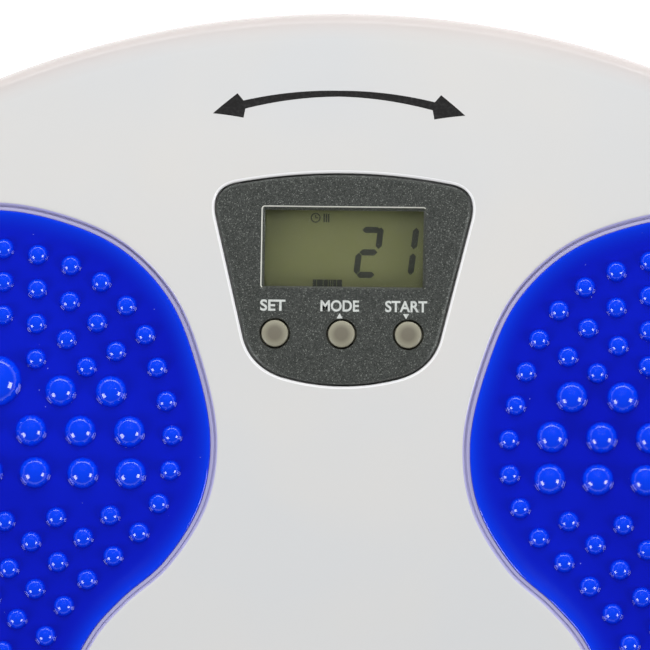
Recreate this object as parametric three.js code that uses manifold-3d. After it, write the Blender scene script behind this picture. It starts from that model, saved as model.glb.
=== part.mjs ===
// A waist-twisting disc: a round turntable that a person stands on, running on a ball race,
// with two foot-shaped massage pads and a turn counter that lifts out.
// Millimetres, +Z up, +Y towards the counter. The origin is on the floor, straight under the pivot.

import * as THREE from "three";
import { mergeVertices } from "three/addons/utils/BufferGeometryUtils.js";
import Module from "manifold-3d";

const wasm = await Module();
wasm.setup();

// ---------------------------------------------------------------- driving dimensions

const GAP = 0.3; // between pieces that touch
const COARSE = 12; // sides of a small round piece
const MEDIUM = 32; // sides of the races and the cage
const WIDE = 40; // sides of the base and of the plate above it
const FINE = 64; // sides of the shell

// Heights, from the floor up.
const BASE_Z = 2.5; // underside of the base
const SKIRT_Z = 18; // lower edge of the shell
const UNDER_Z = 23; // underside of the plate that closes the shell
const TOP_Z = 40; // top face of the shell

const DISC_RADIUS = 150;
const SKIN = 3; // moulded wall of shell, plate and base
const RIM_FILLET = 4.5;
const BASE_RADIUS = 125;
const BASE_WALL_TOP = 21;
const PLATE_RADIUS = 145.5;
const CEILING_Z = TOP_Z - SKIN;
const PLATE_TOP = UNDER_Z + SKIN;

// Pads and their pockets.
const POCKET_DEPTH = 3.5;
const POCKET_MARGIN = 0.9; // gap round the pad
const PAD_FLOOR_Z = 38.8;
const PAD_CREST_Z = 40.1;
const PAD_BOTTOM = TOP_Z - POCKET_DEPTH + GAP;
const LARGE_NUB = { radius: 2.8, cap: 1.6, height: 2.1 };
const DOME_NUB = { radius: 4.5, cap: 2.4, height: 3 };

// Right pad, counter-clockwise from the toes: the inner side, the heel and the outer side.
const PAD_POINTS = [
  [57, 116.8], [44.2, 114.5], [35.4, 110.2], [28.1, 102.6], [23.8, 92.8], [21, 80], [22.4, 69.6],
  [28.2, 59.9], [34.8, 54], [39.8, 48.2], [44.2, 38], [46, 20], [45.2, -5], [42, -30], [38.6, -55],
  [38, -78], [41.8, -97], [51, -110.5], [64, -115.5], [77.5, -109.5], [88, -96], [95.5, -76], [99.5, -50],
  [102.5, -20], [104.5, 10], [104.5, 38], [102, 64], [95.5, 88], [85, 104], [71.5, 113.8],
];
const PAD_STEPS = 2; // straight steps between two outline points

// Rows of large nubs: height up the disc, first nub, spacing and how many.
const LARGE_ROWS = [
  { y: 87.5, x: 37.3, pitch: 8.2, count: 2 },
  { y: 87.5, x: 86.6, pitch: 8.2, count: 1 },
  { y: 81, x: 34.2, pitch: 8, count: 8 },
  { y: 74.2, x: 33.9, pitch: 7.75, count: 8 },
  { y: -71, x: 55, pitch: 8, count: 4 },
  { y: -87, x: 55, pitch: 8, count: 4 },
];
const DOME_ROWS = [
  { y: 89, x: 56.1, pitch: 11.2, count: 3 },
  { y: -79, x: 51, pitch: 16, count: 3 },
];

// Ball race.
const RACE_RADIUS = 60;
const RACE_HALF_WIDTH = 10;
const RACE_THICKNESS = 2;
const GROOVE_HALF_WIDTH = 3.2;
const GROOVE_FLOOR_HALF_WIDTH = 1.4;
const GROOVE_DEPTH = 1.3;
const BALL_RADIUS = 4;
const BALL_COUNT = 12;
const BALL_Z = 16.4;
const SEAT_HALF_WIDTH = 12; // raised ring that carries a race
const LOWER_SEAT_Z = 11;
const LOWER_RACE_Z = LOWER_SEAT_Z + GAP;
const UPPER_SEAT_Z = 2 * BALL_Z - LOWER_SEAT_Z;
const CAGE_HALF_WIDTH = 6;
const CAGE_THICKNESS = 3;
const CAGE_HOLE = 4.4;

// Pivot: an M8 bolt held in the turntable, running in a flanged bush in the base's hub.
const HUB_RADIUS = 16;
const HUB_WEB_Z = 15.5; // underside of the web that the washer bears on
const HUB_WELL = 11; // room for the nut, from below
const BUSH_RADIUS = 6;
const BUSH_FLANGE = 10;
const BOLT_RADIUS = 4;
const BOLT_HEAD = 7.5; // across the corners of a 13 mm hexagon, halved
const BOLT_HEAD_HEIGHT = 5.3;
const BOLT_END = 4.6;
const NUT_HEIGHT = 8;
const WASHER_RADIUS = 8;
const WASHER_THICKNESS = 1.6;
const PIVOT_BOSS = 12;
const CAP_RADIUS = 14.6;
const CAP_THICKNESS = 1.4;

// Feet, ribs, screws and the counter's magnet.
const FOOT_COUNT = 6;
const FOOT_CIRCLE = 110;
const FOOT_RADIUS = 10;
const FOOT_PEG = 2.5;
const RIB_HEIGHT = 6;
const RIB_THICKNESS = 2.4;
const SCREW_COUNT = 6;
const SCREW_CIRCLE = 134;
const SCREW_BOSS = 4;
const SCREW_RADIUS = 1.5;
const SCREW_HEAD = 3.2;
const SCREW_HEAD_HEIGHT = 2.1;
const MAGNET_CIRCLE = 97;
const MAGNET_ANGLE = (210 * Math.PI) / 180;
const MAGNET_RADIUS = 5;
const MAGNET_HEIGHT = 5;

// Counter: its panel's outline is mirrored about its own middle line.
const PANEL_Y = 106;
const PANEL_TOP_Z = 40.2;
const PANEL_THICKNESS = 1.8;
const PANEL_EDGE = {
  topEnd: [17.3, 15.47], topCrown: 18.73, topCorner: [21.5, 14.65], sideTop: [20.5, 10],
  sideFoot: [15.75, -9.6], footCorner: [14.5, -14.1], footEnd: [9.6, -15.7], footCrown: -18.4,
};
const PANEL_STEPS = 5;
const RECESS_MARGIN = 0.25;
const LEDGE = 1.2; // how far the panel overlaps the shell's opening
const RECESS_FLOOR = PANEL_TOP_Z - PANEL_THICKNESS - GAP;
const CASE_INSET = 1.5; // panel edge to the counter's case
const CASE_WALL = 1.1;
const CASE_BOTTOM = 27.1;
const CASE_FLOOR = 28.3;
const CASE_RIM = 36;
const WINDOW = { y: 5.2, width: 26.4, height: 13.1, draft: 0.4 };
const GLASS = { width: 27.2, height: 14 }; // lens and display
const LENS_TOP = PANEL_TOP_Z - PANEL_THICKNESS - GAP;
const LENS_THICKNESS = 0.8;
const LCD_TOP = LENS_TOP - LENS_THICKNESS - GAP;
const LCD_THICKNESS = 1.6;
const BOARD_TOP = 33.6;
const BOARD_THICKNESS = 1.4;
const BUTTON_Y = -8.85;
const BUTTON_PITCH = 10.8;
const BUTTON_RADIUS = 2.15;
const BUTTON_HOLE = 2.45;
const BUTTON_FLANGE = 2.8;
const BUTTON_FLANGE_HEIGHT = 1;
const BUTTON_CROWN = 0.4;
const BUTTON_STEM = 1.4;
const BUTTON_TRAVEL = 0.6;
const DOME_RADIUS = 2;
const DOME_HEIGHT = 0.5;
const BUTTON_FOOT = BOARD_TOP + GAP + DOME_HEIGHT + BUTTON_TRAVEL + 0.1;
const CASE_SCREW = { x: 12, y: -3.9, boss: 1.9, bore: 1.2, radius: 0.9, head: 1.8 };
const CELL = { y: 2, radius: 5.8, height: 3.1 };
const CELL_Z = 28.2;
const DOOR = { width: 16, length: 18, thickness: 1.2 };
const DOOR_TRAVEL = 16;
const DOOR_TOP = CASE_BOTTOM - GAP;
const RAIL_WIDTH = 1.4;
const RAIL_LIP = 1.2; // how far a rail reaches under the door
const REED = { y: -9.2, radius: 1.1, length: 13, z: 30.7 };

// ---------------------------------------------------------------- finishes

const finish = (color, roughness, metalness = 0) =>
  new THREE.MeshStandardMaterial({ color, roughness, metalness });

const WHITE_ABS = finish(0xe4e3e1, 0.25);
const GREY_ABS = finish(0x8d8f92, 0.5);
const BLUE_PVC = finish(0x0a1cb4, 0.15);
const PANEL_PAINT = finish(0x484b48, 0.4, 0.3);
const BUTTON_GREY = finish(0x7c7769, 0.45);
const RUBBER = finish(0x1c1c1e, 0.8);
const STEEL = finish(0xb4b7bb, 0.3, 1);
const ACETAL = finish(0xe9e6dc, 0.4);
const DARK_ABS = finish(0x2a2b2d, 0.5);
const CLEAR = finish(0xdde2dd, 0.05);
const LCD_GLASS = finish(0x626549, 0.2);
const BOARD_GREEN = finish(0x1e6a3a, 0.5);
const SILICONE = finish(0xc9a9a4, 0.6);
const FERRITE = finish(0x3b3a3a, 0.6, 0.2);
const REED_GLASS = finish(0x9fb59f, 0.1);

// ---------------------------------------------------------------- shapes

/** A closed geometry as a solid with its faces pointing out. */
function toSolid(geometry) {
  const bare = geometry.index ? geometry.toNonIndexed() : geometry.clone();
  bare.deleteAttribute("normal");
  bare.deleteAttribute("uv");
  const merged = mergeVertices(bare, 1e-4);
  const position = merged.getAttribute("position");
  const corners = merged.index.array;
  const [a, b, c] = [new THREE.Vector3(), new THREE.Vector3(), new THREE.Vector3()];
  const triVerts = [];
  let sixVolumes = 0;
  for (let i = 0; i < corners.length; i += 3) {
    const [p, q, r] = [corners[i], corners[i + 1], corners[i + 2]];
    if (p === q || q === r || r === p) continue;
    triVerts.push(p, q, r);
    a.fromBufferAttribute(position, p);
    b.fromBufferAttribute(position, q);
    c.fromBufferAttribute(position, r);
    sixVolumes += a.dot(b.cross(c));
  }
  if (sixVolumes < 0) triVerts.reverse();
  const mesh = new wasm.Mesh({
    numProp: 3,
    vertProperties: new Float32Array(position.array),
    triVerts: new Uint32Array(triVerts),
  });
  return new wasm.Manifold(mesh);
}

/** A solid's triangles as a geometry. */
function toGeometry(solid) {
  const { vertProperties, triVerts } = solid.getMesh();
  const geometry = new THREE.BufferGeometry();
  geometry.setAttribute("position", new THREE.BufferAttribute(vertProperties, 3));
  geometry.setIndex(new THREE.BufferAttribute(triVerts, 1));
  geometry.computeVertexNormals();
  return geometry;
}

/** A profile of [radius, z] points turned about +Z; one that stays off the axis closes on itself. */
function revolve(profile, sides) {
  const points = profile.map(([radius, z]) => new THREE.Vector2(radius, z));
  if (points[0].x > 0) points.push(points[0].clone());
  return toSolid(new THREE.LatheGeometry(points, sides).rotateX(Math.PI / 2));
}

/** An upright round bar from low to high, centred on x, y. */
function rod(radius, low, high, sides = COARSE, x = 0, y = 0) {
  const bar = new THREE.CylinderGeometry(radius, radius, high - low, sides).rotateX(Math.PI / 2);
  return toSolid(bar.translate(x, y, (low + high) / 2));
}

/** A block between two opposite corners. */
function block([x0, y0, z0], [x1, y1, z1]) {
  const box = new THREE.BoxGeometry(x1 - x0, y1 - y0, z1 - z0);
  return toSolid(box.translate((x0 + x1) / 2, (y0 + y1) / 2, (z0 + z1) / 2));
}

/** An outline moved outwards by a distance, or inwards by a negative one; it runs counter-clockwise. */
function offset(outline, distance) {
  return outline.map((point, i) => {
    const before = outline[(i + outline.length - 1) % outline.length];
    const after = outline[(i + 1) % outline.length];
    const arriving = point.clone().sub(before).normalize();
    const leaving = after.clone().sub(point).normalize();
    const normal = new THREE.Vector2(arriving.y + leaving.y, -arriving.x - leaving.x);
    const mitre = (2 * distance) / normal.lengthSq();
    return point.clone().addScaledVector(normal, mitre);
  });
}

/** An outline as an upright prism from low to high. */
function prism(outline, low, high) {
  const settings = { depth: high - low, bevelEnabled: false };
  return toSolid(new THREE.ExtrudeGeometry(new THREE.Shape(outline), settings).translate(0, 0, low));
}

/** A solid whose wall follows an outline: each [inset, z] is one ring, and flat faces close the two ends. */
function carried(outline, profile) {
  const count = outline.length;
  const rings = profile.map(([inset]) => offset(outline, -inset));
  const vertices = rings.flatMap((ring, level) => ring.map((p) => [p.x, p.y, profile[level][1]]));
  const faces = [];
  for (let level = 0; level + 1 < rings.length; level += 1) {
    for (let i = 0; i < count; i += 1) {
      const [a, b] = [level * count + i, level * count + ((i + 1) % count)];
      faces.push([a, b, b + count], [a, b + count, a + count]);
    }
  }
  const topStart = (rings.length - 1) * count;
  THREE.ShapeUtils.triangulateShape(rings[0], []).forEach(([a, b, c]) => faces.push([c, b, a]));
  const topFaces = THREE.ShapeUtils.triangulateShape(rings.at(-1), []);
  topFaces.forEach((face) => faces.push(face.map((i) => i + topStart)));
  const geometry = new THREE.BufferGeometry();
  geometry.setAttribute("position", new THREE.Float32BufferAttribute(vertices.flat(), 3));
  geometry.setIndex(faces.flat());
  return toSolid(geometry);
}

/** The places of count things spread evenly round a circle, as [x, y] pairs. */
function around(count, radius, firstAngle = 0) {
  return Array.from({ length: count }, (_, i) => {
    const angle = firstAngle + (2 * Math.PI * i) / count;
    return [radius * Math.cos(angle), radius * Math.sin(angle)];
  });
}

/** A screw with a flat head at low, whose shank ends in a short point at high. */
function screw(radius, headRadius, headHeight, low, high) {
  return revolve(
    [[0, low], [headRadius, low], [headRadius, low + headHeight], [radius, low + headHeight],
      [radius, high - radius], [0, high]],
    COARSE,
  );
}

// ---------------------------------------------------------------- outlines

const flipped = (outline) => outline.map((p) => new THREE.Vector2(-p.x, p.y)).reverse();

function rightPadOutline() {
  const points = PAD_POINTS.map(([x, y]) => new THREE.Vector3(x, y, 0));
  const curve = new THREE.CatmullRomCurve3(points, true, "centripetal");
  const places = curve.getPoints(PAD_POINTS.length * PAD_STEPS).slice(0, -1);
  return places.map((p) => new THREE.Vector2(p.x, p.y));
}

/** The panel's edge about its own middle: crowned top and foot, straight slanting sides, round corners. */
function panelOutline() {
  const { topEnd, topCrown, topCorner, sideTop, sideFoot, footCorner, footEnd, footCrown } = PANEL_EDGE;
  const shape = new THREE.Shape();
  shape.moveTo(...topEnd);
  shape.quadraticCurveTo(0, topCrown, -topEnd[0], topEnd[1]);
  shape.quadraticCurveTo(-topCorner[0], topCorner[1], -sideTop[0], sideTop[1]);
  shape.lineTo(-sideFoot[0], sideFoot[1]);
  shape.quadraticCurveTo(-footCorner[0], footCorner[1], -footEnd[0], footEnd[1]);
  shape.quadraticCurveTo(0, footCrown, ...footEnd);
  shape.quadraticCurveTo(...footCorner, ...sideFoot);
  shape.lineTo(...sideTop);
  shape.quadraticCurveTo(...topCorner, ...topEnd);
  return shape.getPoints(PANEL_STEPS).slice(0, -1);
}

const PAD_RIGHT = rightPadOutline();
const PAD_LEFT = flipped(PAD_RIGHT);
const PANEL = panelOutline();
const PANEL_IN_PLACE = PANEL.map((p) => new THREE.Vector2(p.x, p.y + PANEL_Y));

// ---------------------------------------------------------------- turntable

/** The rim's outside: skirt, rounded edge and the start of the top face. */
function rimProfile() {
  const steps = [0, 1, 2, 3].map((i) => (i * Math.PI) / 6);
  const [r, z] = [DISC_RADIUS - RIM_FILLET, TOP_Z - RIM_FILLET];
  return steps.map((angle) => [r + RIM_FILLET * Math.cos(angle), z + RIM_FILLET * Math.sin(angle)]);
}

function topShell() {
  const inner = DISC_RADIUS - SKIN;
  let shell = revolve(
    [[0, CEILING_Z], [inner - SKIN, CEILING_Z], [inner, CEILING_Z - SKIN], [inner, SKIRT_Z],
      [DISC_RADIUS, SKIRT_Z], ...rimProfile(), [0, TOP_Z]],
    FINE,
  );
  const boltPocketTop = PLATE_TOP + GAP + BOLT_HEAD_HEIGHT + GAP;
  shell = shell.add(rod(PIVOT_BOSS, PLATE_TOP + GAP, CEILING_Z + 1));
  shell = shell.subtract(rod(BOLT_HEAD + GAP, PLATE_TOP, boltPocketTop, 6));
  for (const [x, y] of around(SCREW_COUNT, SCREW_CIRCLE, Math.PI / 6)) {
    shell = shell.add(rod(SCREW_BOSS, PLATE_TOP + GAP, CEILING_Z + 1, 8, x, y));
    shell = shell.subtract(rod(SCREW_RADIUS + GAP, PLATE_TOP, CEILING_Z - 2, 8, x, y));
  }
  for (const pad of [PAD_RIGHT, PAD_LEFT]) {
    const floor = TOP_Z - POCKET_DEPTH;
    shell = shell.add(prism(offset(pad, SKIN), floor - SKIN, CEILING_Z + 1));
    shell = shell.subtract(prism(offset(pad, POCKET_MARGIN), floor, TOP_Z + 1));
  }
  shell = shell.subtract(prism(offset(PANEL_IN_PLACE, RECESS_MARGIN), RECESS_FLOOR, TOP_Z + 1));
  return shell.subtract(prism(offset(PANEL_IN_PLACE, -LEDGE), CEILING_Z - 1, TOP_Z + 1));
}

function underPlate() {
  const [seatIn, seatOut] = [RACE_RADIUS - SEAT_HALF_WIDTH, RACE_RADIUS + SEAT_HALF_WIDTH];
  let plate = revolve(
    [[0, UNDER_Z], [seatIn, UNDER_Z], [seatIn, UPPER_SEAT_Z], [seatOut, UPPER_SEAT_Z], [seatOut, UNDER_Z],
      [PLATE_RADIUS, UNDER_Z], [PLATE_RADIUS, PLATE_TOP], [0, PLATE_TOP]],
    WIDE,
  );
  plate = plate.subtract(rod(BOLT_RADIUS + GAP, UPPER_SEAT_Z, PLATE_TOP + 1));
  for (const [x, y] of around(SCREW_COUNT, SCREW_CIRCLE, Math.PI / 6)) {
    plate = plate.subtract(rod(SCREW_RADIUS + GAP, UNDER_Z - 1, PLATE_TOP + 1, 8, x, y));
  }
  const wellFloor = PLATE_TOP - SKIN / 2;
  const wellHalf = 19;
  const [wellNear, wellFar] = [PANEL_Y - DOOR_TRAVEL - DOOR.length / 2, PANEL_Y + wellHalf];
  return plate.subtract(block([-wellHalf, wellNear, wellFloor], [wellHalf, wellFar, PLATE_TOP + 1]));
}

/** A row's nubs as [x, y] pairs. */
const rowPlaces = ({ y, x, pitch, count }) => Array.from({ length: count }, (_, i) => [x + i * pitch, y]);

function massagePad(outline, side) {
  let pad = carried(outline, [
    [0, PAD_BOTTOM], [0, PAD_CREST_Z - 0.8], [1.2, PAD_CREST_Z], [4.6, PAD_FLOOR_Z],
  ]);
  const kinds = [[LARGE_ROWS, LARGE_NUB], [DOME_ROWS, DOME_NUB]];
  for (const [rows, nub] of kinds) {
    const top = PAD_FLOOR_Z + nub.height;
    const profile = [[0, PAD_FLOOR_Z - 1], [nub.radius, PAD_FLOOR_Z - 1], [nub.cap, top], [0, top]];
    for (const [x, y] of rows.flatMap(rowPlaces)) {
      pad = pad.add(revolve(profile, 6).translate([side * x, y, 0]));
    }
  }
  return pad;
}

// ---------------------------------------------------------------- race, pivot and base

/** A grooved race ring between low and high; its groove opens upwards, or downwards when turned over. */
function raceRing(z, opensUp) {
  const [inner, outer] = [RACE_RADIUS - RACE_HALF_WIDTH, RACE_RADIUS + RACE_HALF_WIDTH];
  const flat = opensUp ? z + RACE_THICKNESS : z;
  const back = opensUp ? z : z + RACE_THICKNESS;
  const floor = opensUp ? flat - GROOVE_DEPTH : flat + GROOVE_DEPTH;
  return revolve(
    [[inner, back], [outer, back], [outer, flat], [RACE_RADIUS + GROOVE_HALF_WIDTH, flat],
      [RACE_RADIUS + GROOVE_FLOOR_HALF_WIDTH, floor], [RACE_RADIUS - GROOVE_FLOOR_HALF_WIDTH, floor],
      [RACE_RADIUS - GROOVE_HALF_WIDTH, flat], [inner, flat]],
    MEDIUM,
  );
}

function ballCage() {
  const [inner, outer] = [RACE_RADIUS - CAGE_HALF_WIDTH, RACE_RADIUS + CAGE_HALF_WIDTH];
  const [low, high] = [BALL_Z - CAGE_THICKNESS / 2, BALL_Z + CAGE_THICKNESS / 2];
  let cage = revolve([[inner, low], [outer, low], [outer, high], [inner, high]], MEDIUM);
  for (const [x, y] of around(BALL_COUNT, RACE_RADIUS)) {
    cage = cage.subtract(rod(CAGE_HOLE, low - 1, high + 1, 8, x, y));
  }
  return cage;
}

function basePlate() {
  const floor = BASE_Z + SKIN;
  const [seatIn, seatOut] = [RACE_RADIUS - SEAT_HALF_WIDTH, RACE_RADIUS + SEAT_HALF_WIDTH];
  const wallIn = BASE_RADIUS - SKIN;
  let base = revolve(
    [[0, BASE_Z], [BASE_RADIUS - 2, BASE_Z], [BASE_RADIUS, BASE_Z + 2], [BASE_RADIUS, BASE_WALL_TOP],
      [wallIn, BASE_WALL_TOP], [wallIn, floor], [seatOut, floor], [seatOut, LOWER_SEAT_Z],
      [seatIn, LOWER_SEAT_Z], [seatIn, floor], [0, floor]],
    WIDE,
  );
  for (const [x, y] of around(FOOT_COUNT, 1, Math.PI / 6)) {
    const angle = Math.atan2(y, x);
    const rib = block([HUB_RADIUS - 2, -RIB_THICKNESS / 2, floor - 1],
      [wallIn + 1, RIB_THICKNESS / 2, floor + RIB_HEIGHT - GAP - 0.8]);
    base = base.add(rib.rotate([0, 0, (angle * 180) / Math.PI]));
  }
  base = base.add(rod(HUB_RADIUS, BASE_Z + 1, BASE_WALL_TOP, 24));
  base = base.subtract(rod(BUSH_RADIUS + GAP, HUB_WEB_Z - 1, BASE_WALL_TOP + 1, 24));
  base = base.subtract(rod(HUB_WELL, BASE_Z - 1, HUB_WEB_Z, 24));
  base = base.subtract(rod(CAP_RADIUS + GAP, BASE_Z - 1, BASE_Z + CAP_THICKNESS + GAP, 24));
  const [magnetX, magnetY] = around(1, MAGNET_CIRCLE, MAGNET_ANGLE)[0];
  const magnetFoot = BASE_WALL_TOP - MAGNET_HEIGHT - 2 * GAP;
  base = base.add(rod(MAGNET_RADIUS + 2.2, floor - 1, BASE_WALL_TOP, COARSE, magnetX, magnetY));
  base = base.subtract(
    rod(MAGNET_RADIUS + GAP, magnetFoot, BASE_WALL_TOP + 1, COARSE, magnetX, magnetY),
  );
  for (const [x, y] of around(FOOT_COUNT, FOOT_CIRCLE)) {
    base = base.subtract(rod(FOOT_PEG + GAP, BASE_Z - 1, floor + 1, 8, x, y));
  }
  return base;
}

/** A foot's pad with the peg that plugs into the base. */
function rubberFoot() {
  const pad = BASE_Z - GAP;
  return revolve(
    [[0, 0], [FOOT_RADIUS - 1, 0], [FOOT_RADIUS, 1], [FOOT_RADIUS, pad], [FOOT_PEG, pad],
      [FOOT_PEG, BASE_Z + SKIN], [0, BASE_Z + SKIN]],
    COARSE,
  );
}

function pivotBush() {
  const flange = BASE_WALL_TOP + GAP;
  const bore = BOLT_RADIUS + GAP;
  return revolve(
    [[bore, HUB_WEB_Z + GAP], [BUSH_RADIUS, HUB_WEB_Z + GAP], [BUSH_RADIUS, flange], [BUSH_FLANGE, flange],
      [BUSH_FLANGE, UNDER_Z - GAP], [bore, UNDER_Z - GAP]],
    16,
  );
}

function pivotBolt() {
  const head = PLATE_TOP + GAP;
  return rod(BOLT_RADIUS, BOLT_END, head + 1).add(rod(BOLT_HEAD, head, head + BOLT_HEAD_HEIGHT, 6));
}

function pivotWasher() {
  const high = HUB_WEB_Z - GAP;
  return revolve(
    [[BOLT_RADIUS + GAP, high - WASHER_THICKNESS], [WASHER_RADIUS, high - WASHER_THICKNESS],
      [WASHER_RADIUS, high], [BOLT_RADIUS + GAP, high]],
    COARSE,
  );
}

function lockNut() {
  const high = HUB_WEB_Z - WASHER_THICKNESS - 2 * GAP;
  const hexagon = rod(BOLT_HEAD, high - NUT_HEIGHT, high, 6);
  return hexagon.subtract(rod(BOLT_RADIUS + GAP, high - NUT_HEIGHT - 1, high + 1));
}

// ---------------------------------------------------------------- counter, about its own middle

/** The front panel with its window, button holes and the two bosses that the case screws bite into. */
function counterBezel() {
  const low = PANEL_TOP_Z - PANEL_THICKNESS;
  let bezel = carried(PANEL, [[0, low], [0, PANEL_TOP_Z - 0.4], [0.4, PANEL_TOP_Z]]);
  const window = new THREE.CylinderGeometry(Math.SQRT1_2, Math.SQRT1_2, 1, 4, 1, false, Math.PI / 4);
  const opening = window.rotateX(Math.PI / 2).toNonIndexed();
  const position = opening.getAttribute("position");
  for (let i = 0; i < position.count; i += 1) {
    const draft = position.getZ(i) > 0 ? 0 : -2 * WINDOW.draft;
    position.setX(i, position.getX(i) * (WINDOW.width + draft));
    position.setY(i, position.getY(i) * (WINDOW.height + draft) + WINDOW.y);
    position.setZ(i, position.getZ(i) > 0 ? PANEL_TOP_Z + 0.01 : low - 0.01);
  }
  bezel = bezel.subtract(toSolid(opening));
  for (const x of [-BUTTON_PITCH, 0, BUTTON_PITCH]) {
    bezel = bezel.subtract(rod(BUTTON_HOLE, low - 1, PANEL_TOP_Z + 1, COARSE, x, BUTTON_Y));
  }
  for (const x of [-CASE_SCREW.x, CASE_SCREW.x]) {
    bezel = bezel.add(rod(CASE_SCREW.boss, CASE_FLOOR + GAP, low + 0.5, COARSE, x, CASE_SCREW.y));
    bezel = bezel.subtract(rod(CASE_SCREW.bore, CASE_FLOOR, low - 1, 8, x, CASE_SCREW.y));
  }
  return bezel;
}

/** The case behind the panel, with a round battery opening and two rails for its door. */
function counterBack() {
  let back = prism(offset(PANEL, -CASE_INSET), CASE_BOTTOM, CASE_RIM);
  back = back.subtract(prism(offset(PANEL, -CASE_INSET - CASE_WALL), CASE_FLOOR, CASE_RIM + 1));
  back = back.subtract(rod(CELL.radius + GAP, CASE_BOTTOM - 1, CASE_FLOOR + 1, 16, 0, CELL.y));
  for (const x of [-CASE_SCREW.x, CASE_SCREW.x]) {
    back = back.subtract(rod(CASE_SCREW.bore, CASE_BOTTOM - 1, CASE_FLOOR + 1, 8, x, CASE_SCREW.y));
  }
  const railIn = DOOR.width / 2 + GAP;
  const [near, far] = [CELL.y - DOOR.length / 2, CELL.y + DOOR.length / 2];
  const lipTop = DOOR_TOP - DOOR.thickness - GAP;
  for (const side of [-1, 1]) {
    const across = (a, b) => [Math.min(side * a, side * b), Math.max(side * a, side * b)];
    const [x0, x1] = across(railIn, railIn + RAIL_WIDTH);
    const [lip0, lip1] = across(railIn - RAIL_LIP, railIn + RAIL_WIDTH);
    back = back.add(block([x0, near, lipTop - 0.5], [x1, far, CASE_BOTTOM + 0.5]));
    back = back.add(block([lip0, near, lipTop - 0.5], [lip1, far, lipTop]));
  }
  return back;
}

function circuitBoard() {
  const bottom = BOARD_TOP - BOARD_THICKNESS;
  let board = prism(offset(PANEL, -CASE_INSET - CASE_WALL - GAP), bottom, BOARD_TOP);
  for (const x of [-CASE_SCREW.x, CASE_SCREW.x]) {
    const radius = CASE_SCREW.boss + GAP;
    board = board.subtract(rod(radius, bottom - 1, BOARD_TOP + 1, COARSE, x, CASE_SCREW.y));
  }
  return board;
}

const glassPlate = (high, thickness) =>
  block([-GLASS.width / 2, WINDOW.y - GLASS.height / 2, high - thickness],
    [GLASS.width / 2, WINDOW.y + GLASS.height / 2, high]);

/** A button: domed cap, the flange that keeps it in, and the stem that presses its dome. */
function button() {
  const flangeTop = PANEL_TOP_Z - PANEL_THICKNESS - GAP;
  const flangeFoot = flangeTop - BUTTON_FLANGE_HEIGHT;
  const crown = PANEL_TOP_Z + BUTTON_CROWN;
  return revolve(
    [[0, BUTTON_FOOT], [BUTTON_STEM, BUTTON_FOOT], [BUTTON_STEM, flangeFoot],
      [BUTTON_FLANGE, flangeFoot], [BUTTON_FLANGE, flangeTop], [BUTTON_RADIUS, flangeTop],
      [BUTTON_RADIUS, PANEL_TOP_Z], [BUTTON_RADIUS - 0.6, crown], [0, crown]],
    COARSE,
  );
}

function switchDome() {
  const foot = BOARD_TOP + GAP;
  const crown = foot + DOME_HEIGHT;
  return revolve([[0, foot], [DOME_RADIUS, foot], [DOME_RADIUS * 0.6, crown], [0, crown]], COARSE);
}

function batteryDoor() {
  const low = DOOR_TOP - DOOR.thickness;
  const plate = block([-DOOR.width / 2, CELL.y - DOOR.length / 2, low],
    [DOOR.width / 2, CELL.y + DOOR.length / 2, DOOR_TOP]);
  const grip = block([-4, CELL.y - 6.5, low - 0.5], [4, CELL.y - 5.5, low + 0.5]);
  return plate.add(grip);
}

// ---------------------------------------------------------------- assembly

const disc = new THREE.Group();
const counter = new THREE.Group();
counter.position.y = PANEL_Y;
disc.add(counter);

function addPiece(group, name, solid, material, [x, y, z] = [0, 0, 0]) {
  const mesh = new THREE.Mesh(toGeometry(solid), material.clone());
  mesh.name = name;
  mesh.position.set(x, y, z);
  group.add(mesh);
}

addPiece(disc, "top_shell", topShell(), WHITE_ABS);
addPiece(disc, "under_plate", underPlate(), WHITE_ABS);
addPiece(disc, "pad_right", massagePad(PAD_RIGHT, 1), BLUE_PVC);
addPiece(disc, "pad_left", massagePad(PAD_LEFT, -1), BLUE_PVC);
around(SCREW_COUNT, SCREW_CIRCLE, Math.PI / 6).forEach(([x, y], i) => {
  const low = UNDER_Z - GAP - SCREW_HEAD_HEIGHT;
  const solid = screw(SCREW_RADIUS, SCREW_HEAD, SCREW_HEAD_HEIGHT, low, CEILING_Z - 3);
  addPiece(disc, `shell_screw_${i + 1}`, solid, STEEL, [x, y, 0]);
});

addPiece(disc, "base_plate", basePlate(), GREY_ABS);
around(FOOT_COUNT, FOOT_CIRCLE).forEach(([x, y], i) => {
  addPiece(disc, `rubber_foot_${i + 1}`, rubberFoot(), RUBBER, [x, y, 0]);
});
addPiece(disc, "base_cap", rod(CAP_RADIUS, BASE_Z + 0.1, BASE_Z + CAP_THICKNESS, 24), GREY_ABS);
addPiece(disc, "lower_race", raceRing(LOWER_RACE_Z, true), STEEL);
addPiece(disc, "upper_race", raceRing(UPPER_SEAT_Z - GAP - RACE_THICKNESS, false), STEEL);
addPiece(disc, "ball_cage", ballCage(), ACETAL);
around(BALL_COUNT, RACE_RADIUS).forEach(([x, y], i) => {
  const solid = toSolid(new THREE.IcosahedronGeometry(BALL_RADIUS, 1));
  addPiece(disc, `race_ball_${i + 1}`, solid, STEEL, [x, y, BALL_Z]);
});
addPiece(disc, "pivot_bush", pivotBush(), ACETAL);
addPiece(disc, "pivot_bolt", pivotBolt(), STEEL);
addPiece(disc, "pivot_washer", pivotWasher(), STEEL);
addPiece(disc, "lock_nut", lockNut(), STEEL);
const magnetTop = BASE_WALL_TOP - GAP;
const magnetSolid = rod(MAGNET_RADIUS, magnetTop - MAGNET_HEIGHT, magnetTop);
addPiece(disc, "trigger_magnet", magnetSolid, FERRITE, [...around(1, MAGNET_CIRCLE, MAGNET_ANGLE)[0], 0]);

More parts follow.
